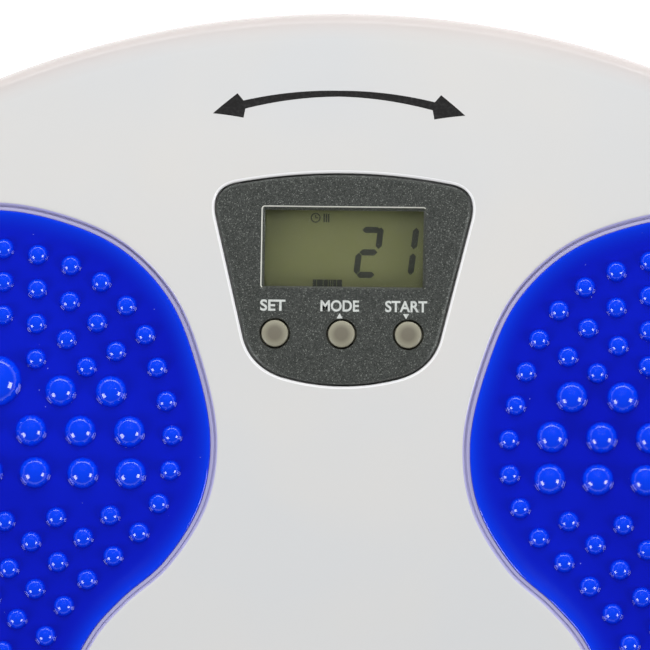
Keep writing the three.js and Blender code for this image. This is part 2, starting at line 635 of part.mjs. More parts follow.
addPiece(counter, "counter_bezel", counterBezel(), PANEL_PAINT);
addPiece(counter, "counter_back", counterBack(), DARK_ABS);
addPiece(counter, "display_lens", glassPlate(LENS_TOP, LENS_THICKNESS), CLEAR);
addPiece(counter, "lcd_panel", glassPlate(LCD_TOP, LCD_THICKNESS), LCD_GLASS);
const zebraTop = LCD_TOP - LCD_THICKNESS - GAP;
const zebraSolid = block([-11, WINDOW.y - 6.6, BOARD_TOP + GAP], [11, WINDOW.y - 5, zebraTop]);
addPiece(counter, "zebra_strip", zebraSolid, SILICONE);
addPiece(counter, "circuit_board", circuitBoard(), BOARD_GREEN);
addPiece(counter, "button_cell", rod(CELL.radius, CELL_Z, CELL_Z + CELL.height, 24, 0, CELL.y), STEEL);
const boardBottom = BOARD_TOP - BOARD_THICKNESS;
const minusTop = boardBottom - GAP;
const minusStrip = block([-1.5, CELL.y - 4.5, minusTop - 0.3], [1.5, CELL.y + 4.5, minusTop]);
addPiece(counter, "cell_contact_minus", minusStrip, STEEL);
const plusX = CELL.radius + GAP;
const plusStrip = block([plusX, CELL.y - 2, CASE_FLOOR + GAP], [plusX + 0.4, CELL.y + 2, boardBottom - GAP]);
addPiece(counter, "cell_contact_plus", plusStrip, STEEL);
const reedTube = new THREE.CylinderGeometry(REED.radius, REED.radius, REED.length, COARSE);
reedTube.rotateZ(Math.PI / 2);
addPiece(counter, "reed_switch", toSolid(reedTube), REED_GLASS, [0, REED.y, REED.z]);
for (const [side, x] of [["left", -CASE_SCREW.x], ["right", CASE_SCREW.x]]) {
  const solid = screw(CASE_SCREW.radius, CASE_SCREW.head, 1.2, CASE_BOTTOM - GAP - 1.2, LENS_TOP - 3);
  addPiece(counter, `case_screw_${side}`, solid, STEEL, [x, CASE_SCREW.y, 0]);
}
addPiece(counter, "battery_door", batteryDoor(), DARK_ABS);
[["set", -BUTTON_PITCH], ["mode", 0], ["start", BUTTON_PITCH]].forEach(([use, x]) => {
  addPiece(counter, `${use}_dome`, switchDome(), STEEL, [x, BUTTON_Y, 0]);
  addPiece(counter, `${use}_button`, button(), BUTTON_GREY, [x, BUTTON_Y, 0]);
});

export default disc;
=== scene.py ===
"""A waist-twisting disc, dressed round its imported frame.

The white cover, the two massage pads, the counter's front and every turned piece are worked out here as
surfaces: a profile carried along an outline or turned about an axis. The plain inner pieces stay as packed
and take their finishes. Shapes are worked out in millimetres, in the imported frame, and turned to metres when
a mesh is made.
"""

import logging
import math
from collections.abc import Callable, Sequence
from dataclasses import dataclass
from enum import Enum
from functools import partial

import bmesh
import bpy
import numpy as np
from mathutils import Matrix, Vector
from mathutils.geometry import tessellate_polygon


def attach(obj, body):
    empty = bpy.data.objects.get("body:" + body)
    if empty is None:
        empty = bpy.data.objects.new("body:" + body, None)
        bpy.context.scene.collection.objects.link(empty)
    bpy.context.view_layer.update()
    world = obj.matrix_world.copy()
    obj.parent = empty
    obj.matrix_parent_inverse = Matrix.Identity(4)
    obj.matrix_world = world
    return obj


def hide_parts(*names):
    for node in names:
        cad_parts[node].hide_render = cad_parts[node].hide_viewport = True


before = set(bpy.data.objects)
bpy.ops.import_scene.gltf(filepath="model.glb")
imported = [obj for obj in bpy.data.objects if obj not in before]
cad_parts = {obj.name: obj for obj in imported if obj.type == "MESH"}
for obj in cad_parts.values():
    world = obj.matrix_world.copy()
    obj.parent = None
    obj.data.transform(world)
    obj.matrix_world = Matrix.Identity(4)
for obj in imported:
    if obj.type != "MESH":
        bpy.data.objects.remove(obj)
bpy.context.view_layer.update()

Array = np.ndarray
Socket = bpy.types.NodeSocket
Material = bpy.types.Material
Piece = bpy.types.Object

MM = 0.001
SHARP_ANGLE = math.radians(38)
WELD_DISTANCE = 1e-6
GAP = 0.3  # mm between pieces that touch
INK_THICKNESS = 0.005  # mm
LETTER_EXTRUDE = 0.004  # half a letter's thickness before it is scaled, letters being about 1 tall
LETTER_BOLDNESS = 0.025
log = logging.getLogger("twist_disc")


# ------------------------------------------------------------------ curves and profiles


def closed_spline(points: Sequence[tuple[float, float]], steps: int) -> Array:
    """A smooth closed curve through the points: a centripetal Catmull-Rom spline.

    Between two points p and q it is a Hermite cubic, whose tangents come from the neighbours weighted by the
    square root of each chord.

    Args:
        points: the places that it passes through, in mm.
        steps: how many places it has for each stretch.

    Returns:
        The places along it, one row each.
    """
    here = np.asarray(points, dtype=float)
    before, after, beyond = (np.roll(here, shift, axis=0) for shift in (1, -1, -2))
    first, middle, last = (
        np.sqrt(np.linalg.norm(b - a, axis=1))[:, None]
        for a, b in ((before, here), (here, after), (after, beyond))
    )
    chord = (after - here) / middle
    leaving = middle * ((here - before) / first - (after - before) / (first + middle) + chord)
    arriving = middle * (chord - (beyond - here) / (middle + last) + (beyond - after) / last)
    t = np.linspace(0, 1, steps, endpoint=False)[:, None, None]
    places = (
        (2 * t**3 - 3 * t**2 + 1) * here
        + (t**3 - 2 * t**2 + t) * leaving
        + (3 * t**2 - 2 * t**3) * after
        + (t**3 - t**2) * arriving
    )
    return places.transpose(1, 0, 2).reshape(-1, 2)


def arch(start: Sequence[float], control: Sequence[float], end: Sequence[float], steps: int) -> Array:
    """A quadratic Bezier curve from start towards control to end, without its last place."""
    t = np.linspace(0, 1, steps, endpoint=False)[:, None]
    return (1 - t) ** 2 * np.array(start) + 2 * t * (1 - t) * np.array(control) + t**2 * np.array(end)


def evenly(loop: Array, count: int, phase: float = 0.0) -> Array:
    """A closed loop's places again, count of them, spaced evenly along it from phase mm past its first one.

    Args:
        loop: the closed loop.
        count: how many places it gets.
        phase: how far past the first place they start, in mm.

    Returns:
        The new places, one row each.
    """
    closed = np.vstack([loop, loop[:1]])
    along = np.concatenate([[0], np.cumsum(np.linalg.norm(np.diff(closed, axis=0), axis=1))])
    wanted = (np.arange(count) * along[-1] / count + phase) % along[-1]
    return np.stack([np.interp(wanted, along, closed[:, axis]) for axis in (0, 1)], axis=1)


def outward(loop: Array) -> Array:
    """Unit normals that point out of a counter-clockwise loop, from each place's two neighbours.

    Args:
        loop: the loop, one row for each place.

    Returns:
        A normal for each place.
    """
    tangent = np.roll(loop, -1, axis=0) - np.roll(loop, 1, axis=0)
    normal = np.stack([tangent[:, 1], -tangent[:, 0]], axis=1)
    return normal / np.linalg.norm(normal, axis=1, keepdims=True)


def circle(radius: float, sides: int, centre: tuple[float, float] = (0, 0)) -> Array:
    """Places round a circle, counter-clockwise from +X."""
    angle = np.linspace(0, 2 * np.pi, sides, endpoint=False)
    return np.stack([np.cos(angle), np.sin(angle)], axis=1) * radius + np.array(centre)


def rounded_box(width: float, height: float, radius: float, centre: tuple[float, float],
                sides: int = 6) -> Array:
    """A rectangle whose corners are quarter circles, counter-clockwise from the right side.

    Args:
        width: its size along X, in mm.
        height: its size along Y, in mm.
        radius: the corners' radius, in mm.
        centre: its middle.
        sides: how many places each corner has.

    Returns:
        Its places, one row each.
    """
    corners = []
    for quarter, (sx, sy) in enumerate(((1, 1), (-1, 1), (-1, -1), (1, -1))):
        angle = np.linspace(0, np.pi / 2, sides) + quarter * np.pi / 2
        middle = np.array(centre) + (sx * (width / 2 - radius), sy * (height / 2 - radius))
        corners.append(middle + radius * np.stack([np.cos(angle), np.sin(angle)], axis=1))
    return np.vstack(corners)


def bend(centre: tuple[float, float], radius: float, start: float, end: float, steps: int = 6) -> Array:
    """Profile places on an arc about centre, from one angle to another in degrees."""
    angle = np.radians(np.linspace(start, end, steps))
    return np.array(centre) + radius * np.stack([np.cos(angle), np.sin(angle)], axis=1)


def around(count: int, radius: float, first: float = 0.0) -> list[tuple[float, float]]:
    """Places of count things spread evenly round a circle, the first at an angle in degrees."""
    angles = [math.radians(first) + 2 * math.pi * i / count for i in range(count)]
    return [(radius * math.cos(angle), radius * math.sin(angle)) for angle in angles]


# ------------------------------------------------------------------ meshes


class Shape:
    """Grids and flat faces, gathered in millimetres and welded into one mesh."""

    def __init__(self) -> None:
        """Starts with nothing in it."""
        self._points: list[Array] = []
        self._faces: list[list[int]] = []
        self._count = 0

    def _add(self, points: Array, faces: Array) -> None:
        """Keeps some points and the faces between them.

        Args:
            points: the points, one row each.
            faces: rows of numbers, which count those points from 0.
        """
        self._points.append(points)
        self._faces.extend((faces + self._count).tolist())
        self._count += len(points)

    def grid(self, points: Array, closed: bool = True) -> None:
        """Adds a sheet of quads.

        Args:
            points: place [i, j] is step i of a profile at step j along a path.
            closed: whether the path comes back to its start.
        """
        rows, columns = points.shape[:2]
        index = np.arange(rows * columns).reshape(rows, columns)
        left, right = (index, np.roll(index, -1, axis=1)) if closed else (index[:, :-1], index[:, 1:])
        quads = np.stack([left[:-1], right[:-1], right[1:], left[1:]], axis=-1)
        self._add(points.reshape(-1, 3), quads.reshape(-1, 4))

    def turned(self, profile: Array, sides: int, centre: tuple[float, float] = (0, 0)) -> None:
        """Turns a profile of (radius, z) about an upright axis: x = r cos a, y = r sin a.

        Args:
            profile: (radius, z) at each step.
            sides: how many steps go round.
            centre: where the axis stands.
        """
        angle = np.linspace(0, 2 * np.pi, sides, endpoint=False)
        radius, z = profile[:, :1], np.repeat(profile[:, 1:], sides, axis=1)
        x, y = centre[0] + radius * np.cos(angle), centre[1] + radius * np.sin(angle)
        self.grid(np.stack([x, y, z], axis=-1))

    def carried(self, loop: Array, profile: Array) -> None:
        """Carries a profile of (offset, z) round a loop: each place moves out along its normal by the offset.

        Args:
            loop: a counter-clockwise loop.
            profile: (offset, z) at each step.
        """
        places = loop + profile[:, None, :1] * outward(loop)
        z = np.repeat(profile[:, 1:], len(loop), axis=1)
        self.grid(np.concatenate([places, z[..., None]], axis=-1))

    def flat(self, loops: Sequence[Array], z: float) -> None:
        """Fills the level plane inside the first loop and outside the others.

        Args:
            loops: the outer edge and then the holes.
            z: the height of the plane, in mm.
        """
        rings = [np.column_stack([loop, np.full(len(loop), z)]) for loop in loops]
        triangles = tessellate_polygon([ring.tolist() for ring in rings])
        self._add(np.vstack(rings), np.array(triangles))

    def make(self, name: str, finish: Material) -> Piece:
        """Welds what was gathered, turns its faces out and gives it a finish.

        Args:
            name: the piece's name.
            finish: the finish of all its faces.

        Returns:
            The piece, at the origin.
        """
        mesh = bpy.data.meshes.new(name)
        mesh.from_pydata(np.vstack(self._points) * MM, [], self._faces)
        work = bmesh.new()
        work.from_mesh(mesh)
        bmesh.ops.remove_doubles(work, verts=work.verts, dist=WELD_DISTANCE)
        bmesh.ops.recalc_face_normals(work, faces=work.faces)
        work.to_mesh(mesh)
        work.free()
        mesh.shade_smooth()
        mesh.set_sharp_from_angle(angle=SHARP_ANGLE)
        mesh.materials.append(finish)
        piece = bpy.data.objects.new(name, mesh)
        bpy.context.collection.objects.link(piece)
        return piece


def faces_of(piece: Piece) -> tuple[Array, Array]:
    """Each face's middle, in mm, and its normal.

    Args:
        piece: the piece.

    Returns:
        The middles and the normals, one row for each face.
    """
    faces = piece.data.polygons
    middles, normals = np.empty(len(faces) * 3), np.empty(len(faces) * 3)
    faces.foreach_get("center", middles)
    faces.foreach_get("normal", normals)
    return middles.reshape(-1, 3) / MM, normals.reshape(-1, 3)


def paint(piece: Piece, finish: Material, chosen: Array) -> None:
    """Gives the chosen faces of a piece a further finish; the others keep theirs.

    Args:
        piece: the piece.
        finish: the further finish.
        chosen: for each face, whether it is chosen.
    """
    faces = piece.data.polygons
    slots = np.empty(len(faces), dtype=np.int32)
    faces.foreach_get("material_index", slots)
    faces.foreach_set("material_index", np.where(chosen, len(piece.data.materials), slots).astype(np.int32))
    piece.data.materials.append(finish)


def settle(piece: Piece, body: str, nodes: Sequence[str] = ()) -> Piece:
    """Rides a piece on a body and hides the nodes that it stands for.

    Args:
        piece: the new piece.
        body: the body that carries it.
        nodes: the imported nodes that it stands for.

    Returns:
        The same piece.
    """
    if nodes:
        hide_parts(*nodes)
    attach(piece, body)
    log.info("%s: %d faces on %s", piece.name, len(piece.data.polygons), body)
    return piece


def lettering(name: str, words: str, cap_height: float, width: float, place: tuple[float, float, float],
              finish: Material) -> Piece:
    """Printed words as a thin raised mesh.

    Args:
        name: the piece's name.
        words: what is printed.
        cap_height: the capitals' height, in mm.
        width: the whole line's width, in mm.
        place: the middle of the line's foot, in mm.
        finish: the ink.

    Returns:
        The piece, at the origin with its place in its mesh.
    """
    curve = bpy.data.curves.new(name, "FONT")
    curve.body = words
    curve.extrude = LETTER_EXTRUDE
    curve.offset = LETTER_BOLDNESS
    writing = bpy.data.objects.new(name, curve)
    bpy.context.collection.objects.link(writing)
    bpy.context.view_layer.update()
    mesh = bpy.data.meshes.new_from_object(writing)
    bpy.data.objects.remove(writing)
    places = np.empty(len(mesh.vertices) * 3)
    mesh.vertices.foreach_get("co", places)
    low, high = places.reshape(-1, 3).min(axis=0), places.reshape(-1, 3).max(axis=0)
    raised = INK_THICKNESS * MM / (2 * LETTER_EXTRUDE)
    size = (width * MM / (high[0] - low[0]), cap_height * MM / (high[1] - low[1]), raised)
    middle = Matrix.Translation((-(low[0] + high[0]) / 2, -low[1], -low[2]))
    mesh.transform(Matrix.Translation(Vector(place) * MM) @ Matrix.Diagonal((*size, 1)) @ middle)
    mesh.materials.clear()
    mesh.materials.append(finish)
    piece = bpy.data.objects.new(name, mesh)
    bpy.context.collection.objects.link(piece)
    return piece


# ------------------------------------------------------------------ finishes

# Some inputs go by number. Map Range: 0 the value, 1 and 2 the range that it has, 3 and 4 the range that it
# gets, which is 0 to 1 when left out. Mix of colours: 0 the factor, 6 and 7 the colours, and output 2.
NOISE, CELLS, WAVES = "ShaderNodeTexNoise", "ShaderNodeTexVoronoi", "ShaderNodeTexWave"
RANGE, MATH, VECTOR_MATH = "ShaderNodeMapRange", "ShaderNodeMath", "ShaderNodeVectorMath"
MIX, BUMP, AXES = "ShaderNodeMix", "ShaderNodeBump", "ShaderNodeSeparateXYZ"
PRINCIPLED, OUTPUT = "ShaderNodeBsdfPrincipled", "ShaderNodeOutputMaterial"
OF_COLOURS = {"out": 2, "data_type": "RGBA"}
LEVEL = (1, 1, 0)  # times a place, this drops its height
Adder = Callable[..., Socket]


def linear(code: int) -> tuple[float, float, float, float]:
    """An sRGB colour as linear light.

    Args:
        code: the colour, such as 0xE4E3E1.

    Returns:
        Linear red, green and blue, and an alpha of 1.
    """
    channels = [(code >> shift & 255) / 255 for shift in (16, 8, 0)]
    red, green, blue = (c / 12.92 if c <= 0.04045 else ((c + 0.055) / 1.055) ** 2.4 for c in channels)
    return (red, green, blue, 1.0)


def add_node(tree: bpy.types.NodeTree, kind: str, links: dict[str | int, object] | None = None,
             out: str | int = 0, **settings: object) -> Socket | None:
    """Adds a node.

    Args:
        tree: the material's or world's node tree.
        kind: the node's type, such as ShaderNodeBump.
        links: a value or another node's output for each input, by name or number.
        out: which of its outputs is wanted, by name or number.
        settings: properties of the node itself.

    Returns:
        That output, or None from a node that has none.
    """
    node = tree.nodes.new(kind)
    for name, value in settings.items():
        setattr(node, name, value)
    for name, value in (links or {}).items():
        if isinstance(value, Socket):
            tree.links.new(value, node.inputs[name])
        else:
            node.inputs[name].default_value = value
    return node.outputs[out] if len(node.outputs) else None


def start_material(name: str) -> tuple[Material, Adder, Socket]:
    """Starts a material with an empty node tree.

    Args:
        name: the material's name.

    Returns:
        The material, add_node for its own tree, and the object coordinates.
    """
    material = bpy.data.materials.new(name)
    material.use_nodes = True
    material.node_tree.nodes.clear()
    add = partial(add_node, material.node_tree)
    return material, add, add("ShaderNodeTexCoord", out="Object")


@dataclass(frozen=True)
class GlossAbs:
    """White ABS from a polished mould: a bright mirror over a faintly wavy skin, with slow shifts of tint.

    Where the face turns down into the skirt it is painted a little warmer and darker, a painted shade and
    reflection on the rounded rim.
    """

    name: str = "white ABS, polished mould"
    warm: int = 0xE3E1DE
    cool: int = 0xDEDFE0
    roughness: float = 0.2
    tint_mm: float = 38.0
    gloss_mm: float = 14.0
    wave_mm: float = 9.0
    wave_depth_mm: float = 0.012
    peel_mm: float = 0.9
    peel_depth_mm: float = 0.0012
    # painted shade and reflection: the warmer, darker colour painted on the rounded rim
    rim: int = 0xCCC3C0
    rim_shade_starts_mm: float = 145.2
    rim_shade_ends_mm: float = 149.0
    turn_foot_mm: float = 33.0
    turn_top_mm: float = 37.5

    def make(self) -> Material:
        """Builds the material.

        Returns:
            The material.
        """
        material, add, place = start_material(self.name)
        cloud = add(NOISE, {"Vector": place, "Scale": 1 / (self.tint_mm * MM)})
        cloud = add(RANGE, {0: cloud, 1: 0.35, 2: 0.65})
        face = add(MIX, {0: cloud, 6: linear(self.warm), 7: linear(self.cool)}, **OF_COLOURS)
        flat = add(VECTOR_MATH, {0: place, 1: LEVEL}, operation="MULTIPLY")
        away = add(VECTOR_MATH, {0: flat}, out="Value", operation="LENGTH")
        # painted shade and reflection on the rim: mixed in near the edge, only as high as the rim's rollover
        rim_shade_reach = add(RANGE, {0: away, 1: self.rim_shade_starts_mm * MM, 2: self.rim_shade_ends_mm * MM})
        up = add(AXES, {"Vector": place}, out="Z")
        high = add(RANGE, {0: up, 1: self.turn_foot_mm * MM, 2: self.turn_top_mm * MM})
        edge = add(MATH, {0: rim_shade_reach, 1: high}, operation="MULTIPLY")
        tint = add(MIX, {0: edge, 6: face, 7: linear(self.rim)}, **OF_COLOURS)
        wave = add(NOISE, {"Vector": place, "Scale": 1 / (self.wave_mm * MM), "Detail": 0})
        wave = add(RANGE, {0: wave, 1: 0.2, 2: 0.8})
        wave = add(BUMP, {"Height": wave, "Distance": self.wave_depth_mm * MM})
        peel = add(NOISE, {"Vector": place, "Scale": 1 / (self.peel_mm * MM), "Detail": 1})
        peel = add(RANGE, {0: peel, 1: 0.2, 2: 0.8})
        peel = add(BUMP, {"Height": peel, "Distance": self.peel_depth_mm * MM, "Normal": wave})
        gloss = add(NOISE, {"Vector": place, "Scale": 1 / (self.gloss_mm * MM)})
        gloss = add(RANGE, {0: gloss, 1: 0.3, 2: 0.7})
        gloss = add(RANGE, {0: gloss, 3: self.roughness - 0.03, 4: self.roughness + 0.04})
        skin = add(PRINCIPLED, {"Base Color": tint, "IOR": 1.54, "Normal": peel, "Roughness": gloss})
        add(OUTPUT, {"Surface": skin})
        return material


@dataclass(frozen=True)
class TexturedPlastic:
    """Plastic from a spark-eroded mould: a fine even grain that scatters the light, rubbed in places."""

    name: str
    colour: int
    rubbed: int
    roughness: float = 0.5
    grain_mm: float = 0.35
    depth_mm: float = 0.02
    wear_mm: float = 22.0

    def make(self) -> Material:
        """Builds the material.

        Returns:
            The material.
        """
        material, add, place = start_material(self.name)
        wear = add(NOISE, {"Vector": place, "Scale": 1 / (self.wear_mm * MM), "Detail": 4})
        wear = add(RANGE, {0: wear, 1: 0.42, 2: 0.75})
        tint = add(MIX, {0: wear, 6: linear(self.colour), 7: linear(self.rubbed)}, **OF_COLOURS)
        grain = add(NOISE, {"Vector": place, "Scale": 1 / (self.grain_mm * MM), "Detail": 3})
        grain = add(RANGE, {0: grain, 1: 0.25, 2: 0.75})
        grain = add(BUMP, {"Height": grain, "Distance": self.depth_mm * MM})
        gloss = add(RANGE, {0: wear, 3: self.roughness, 4: self.roughness - 0.12})
        skin = add(PRINCIPLED, {"Base Color": tint, "IOR": 1.52, "Normal": grain, "Roughness": gloss})
        add(OUTPUT, {"Surface": skin})
        return material


@dataclass(frozen=True)
class SoftVinyl:
    """Blue plasticised PVC, cast glossy: deep violet-blue where it lies flat and painted brighter the higher
    it stands, a painted glow for light let through the nubs and edges, with a few fine specks cast into it."""

    name: str = "blue soft PVC, cast glossy"
    deep: int = 0x051CCC
    deeper: int = 0x0312BC
    # painted glow: the colour of the nubs' tips and the edge's crest
    lit: int = 0x0042FC
    speck: int = 0x8E96F4
    glow_low_mm: float = 38.8
    glow_high_mm: float = 39.8
    roughness: float = 0.09
    cloud_mm: float = 26.0
    ripple_mm: float = 5.0
    ripple_depth_mm: float = 0.01
    speck_cell_mm: float = 2.6
    speck_share: float = 0.028

    def make(self) -> Material:
        """Builds the material.

        Returns:
            The material.
        """
        material, add, place = start_material(self.name)
        height = add(AXES, {"Vector": place}, out="Z")
        # painted glow: the colour turns from the floor's blue to the bright blue with height
        rise = add(RANGE, {0: height, 1: self.glow_low_mm * MM, 2: self.glow_high_mm * MM})
        cloud = add(NOISE, {"Vector": place, "Scale": 1 / (self.cloud_mm * MM), "Detail": 1})
        cloud = add(RANGE, {0: cloud, 1: 0.3, 2: 0.7})
        floor = add(MIX, {0: cloud, 6: linear(self.deep), 7: linear(self.deeper)}, **OF_COLOURS)
        body = add(MIX, {0: rise, 6: floor, 7: linear(self.lit)}, **OF_COLOURS)
        cells = add(CELLS, {"Vector": place, "Scale": 1 / (self.speck_cell_mm * MM)}, out="Distance")
        speck = add(RANGE, {0: cells, 1: self.speck_share + 0.006, 2: self.speck_share})
        tint = add(MIX, {0: speck, 6: body, 7: linear(self.speck)}, **OF_COLOURS)
        gloss = add(RANGE, {0: cloud, 3: self.roughness, 4: self.roughness + 0.04})
        ripple = add(NOISE, {"Vector": place, "Scale": 1 / (self.ripple_mm * MM), "Detail": 1})
        ripple = add(RANGE, {0: ripple, 1: 0.2, 2: 0.8})
        ripple = add(BUMP, {"Height": ripple, "Distance": self.ripple_depth_mm * MM})
        skin = add(PRINCIPLED, {"Base Color": tint, "IOR": 1.54, "Roughness": gloss, "Normal": ripple,
                                "Coat Weight": 0.5, "Coat Roughness": 0.03})
        add(OUTPUT, {"Surface": skin})
        return material


@dataclass(frozen=True)
class FlakePaint:
    """Dark grey metallic lacquer on plastic, finely leathery: each flake catches the light its own way.

    Real flakes are too fine to show, so they are drawn about 0.14 mm wide.
    """

    name: str = "dark metallic lacquer"
    ground: int = 0x383B38
    flake: int = 0x5B5E5B
    bright: int = 0x878A85
    flake_mm: float = 0.14
    leather_mm: float = 0.3
    leather_depth_mm: float = 0.018

    def make(self) -> Material:
        """Builds the material.

        Returns:
            The material.
        """
        material, add, place = start_material(self.name)
        cells = add(CELLS, {"Vector": place, "Scale": 1 / (self.flake_mm * MM)}, out="Color")
        red, green, blue = add("ShaderNodeSeparateColor", {"Color": cells}).node.outputs
        chance = add(RANGE, {0: red, 1: 0.1, 2: 1.0})
        body = add(MIX, {0: chance, 6: linear(self.ground), 7: linear(self.flake)}, **OF_COLOURS)
        spark = add(RANGE, {0: green, 1: 0.9, 2: 0.97})
        tint = add(MIX, {0: spark, 6: body, 7: linear(self.bright)}, **OF_COLOURS)
        gloss = add(RANGE, {0: blue, 3: 0.34, 4: 0.5})
        leather = add(NOISE, {"Vector": place, "Scale": 1 / (self.leather_mm * MM)})
        leather = add(RANGE, {0: leather, 1: 0.2, 2: 0.8})
        leather = add(BUMP, {"Height": leather, "Distance": self.leather_depth_mm * MM})
        skin = add(PRINCIPLED, {"Base Color": tint, "Metallic": 0.25, "Roughness": gloss, "Normal": leather})
        add(OUTPUT, {"Surface": skin})
        return material


@dataclass(frozen=True)
class SatinButton:
    """Warm grey ABS button caps, satin: painted shade in the middle of each cap, a painted highlight on its
    edge.
    """

    name: str = "warm grey ABS, satin"
    # painted shade in each cap's middle and a painted highlight towards its edge
    middle: int = 0x7B7668
    edge: int = 0xA6A38F
    centres: tuple[tuple[float, float], ...] = ()
    radius_mm: float = 2.15
    shaded_middle_share: float = 0.45
    grain_mm: float = 0.25
    grain_depth_mm: float = 0.008

    def make(self) -> Material:
        """Builds the material: the distance from the nearest cap's middle sets the painted shade and
        highlight.

        Returns:
            The material.
        """
        material, add, place = start_material(self.name)
        flat = add(VECTOR_MATH, {0: place, 1: LEVEL}, operation="MULTIPLY")
        nearest, *others = [
            add(VECTOR_MATH, {0: flat, 1: (x * MM, y * MM, 0)}, out="Value", operation="DISTANCE")
            for x, y in self.centres
        ]
        for away in others:
            nearest = add(MATH, {0: nearest, 1: away}, operation="MINIMUM")
        # painted highlight: lighter from the shaded middle out to the cap's edge
        rim = add(RANGE, {0: nearest, 1: self.shaded_middle_share * self.radius_mm * MM, 2: self.radius_mm * MM})
        tint = add(MIX, {0: rim, 6: linear(self.middle), 7: linear(self.edge)}, **OF_COLOURS)
        grain = add(NOISE, {"Vector": place, "Scale": 1 / (self.grain_mm * MM)})
        grain = add(RANGE, {0: grain, 1: 0.2, 2: 0.8})
        grain = add(BUMP, {"Height": grain, "Distance": self.grain_depth_mm * MM})
        skin = add(PRINCIPLED, {"Base Color": tint, "IOR": 1.52, "Roughness": 0.38, "Normal": grain})
        add(OUTPUT, {"Surface": skin})
        return material


class SteelWork(Enum):
    """How a steel surface was made, as its least and greatest roughness."""

    TURNED = (0.22, 0.36)
    PLATED = (0.26, 0.42)
    POLISHED = (0.05, 0.09)


@dataclass(frozen=True)
class Steel:
    """Steel: turned marks run round the pivot, zinc plate is softly clouded, a bearing ball is a mirror."""

    name: str
    work: SteelWork
    colour: int = 0xC4C6C8
    dull: int = 0x9EA1A5
    cloud_mm: float = 3.0
    turning_mm: float = 6.0
    turning_depth_mm: float = 0.01

    def make(self) -> Material:
        """Builds the material.

        Returns:
            The material.
        """
        material, add, place = start_material(self.name)
        cloud = add(NOISE, {"Vector": place, "Scale": 1 / (self.cloud_mm * MM), "Detail": 3})
        cloud = add(RANGE, {0: cloud, 1: 0.3, 2: 0.7})
        smooth, rough = self.work.value
        tint = add(MIX, {0: cloud, 6: linear(self.colour), 7: linear(self.dull)}, **OF_COLOURS)
        links: dict[str | int, object] = {"Metallic": 1.0, "Base Color": tint}
        if self.work is SteelWork.TURNED:
            wave = {"Vector": place, "Scale": 1 / (self.turning_mm * MM), "Distortion": 0.4, "Detail": 3.0}
            rings = add(WAVES, wave, out="Fac", wave_type="RINGS", rings_direction="Z")
            links["Normal"] = add(
                BUMP, {"Height": rings, "Distance": self.turning_depth_mm * MM, "Strength": 0.6}
            )
            links["Roughness"] = add(RANGE, {0: rings, 3: smooth, 4: rough})
        else:
            links["Roughness"] = add(RANGE, {0: cloud, 3: smooth, 4: rough})
        add(OUTPUT, {"Surface": add(PRINCIPLED, links)})
        return material


@dataclass(frozen=True)
class DisplayCell:
    """A reflective liquid crystal cell: olive-grey, a little yellower in the middle, under ground glass."""

    name: str = "reflective liquid crystal cell"
    middle: int = 0x656446
    edge: int = 0x5F5F43
    mottle: int = 0x636342
    mottle_mm: float = 2.5
    centre: tuple[float, float] = (0, 0)
    top_mm: float = 37.0
    half_width_mm: float = 13.0

    def make(self) -> Material:
        """Builds the material.

        Returns:
            The material.
        """
        material, add, place = start_material(self.name)
        middle = (self.centre[0] * MM, self.centre[1] * MM, self.top_mm * MM)
        away = add(VECTOR_MATH, {0: place, 1: middle}, out="Value", operation="DISTANCE")
        falloff = add(RANGE, {0: away, 1: 0.25 * self.half_width_mm * MM, 2: 1.15 * self.half_width_mm * MM})
        tint = add(MIX, {0: falloff, 6: linear(self.middle), 7: linear(self.edge)}, **OF_COLOURS)
        patches = add(NOISE, {"Vector": place, "Scale": 1 / (self.mottle_mm * MM)})
        patches = add(RANGE, {0: patches, 1: 0.35, 2: 0.8})
        mottled = add(MIX, {0: patches, 6: tint, 7: linear(self.mottle)}, **OF_COLOURS)
        add(OUTPUT, {"Surface": add(PRINCIPLED, {"Base Color": mottled, "Roughness": 0.32, "IOR": 1.5})})
        return material


@dataclass(frozen=True)
class Ink:
    """Screen-printed ink or a switched-on display segment: flat and even, with a slightly starved edge."""

    name: str
    colour: int
    thin: int
    roughness: float = 0.5
    starved_mm: float = 0.5

    def make(self) -> Material:
        """Builds the material.

        Returns:
            The material.
        """
        material, add, place = start_material(self.name)
        starved = add(NOISE, {"Vector": place, "Scale": 1 / (self.starved_mm * MM), "Detail": 3})
        starved = add(RANGE, {0: starved, 1: 0.45, 2: 0.8})
        tint = add(MIX, {0: starved, 6: linear(self.colour), 7: linear(self.thin)}, **OF_COLOURS)
        add(OUTPUT, {"Surface": add(PRINCIPLED, {"Base Color": tint, "Roughness": self.roughness})})
        return material


@dataclass(frozen=True)
class ClearSheet:
    """Clear acrylic or thin glass: it shows what is behind it, and lets lamps through to it."""

    name: str
    tint: int = 0xF4F7F2
    ior: float = 1.49
    roughness: float = 0.03
    hairline_mm: float = 1.6

    def make(self) -> Material:
        """Builds the material: glass, which lamps' rays pass as if it were not there.

        Returns:
            The material.
        """
        material, add, place = start_material(self.name)
        hair = add(NOISE, {"Vector": place, "Scale": 1 / (self.hairline_mm * MM), "Detail": 4})
        hair = add(RANGE, {0: hair, 1: 0.4, 2: 0.9})
        hair = add(RANGE, {0: hair, 3: self.roughness, 4: self.roughness + 0.03})
        glass = add(PRINCIPLED, {"Base Color": linear(self.tint), "Transmission Weight": 1.0, "IOR": self.ior,
                                 "Roughness": hair})
        clear = add("ShaderNodeBsdfTransparent", {"Color": linear(self.tint)})
        lamp = add("ShaderNodeLightPath", out="Is Shadow Ray")
        add(OUTPUT, {"Surface": add("ShaderNodeMixShader", {0: lamp, 1: glass, 2: clear})})
        return material


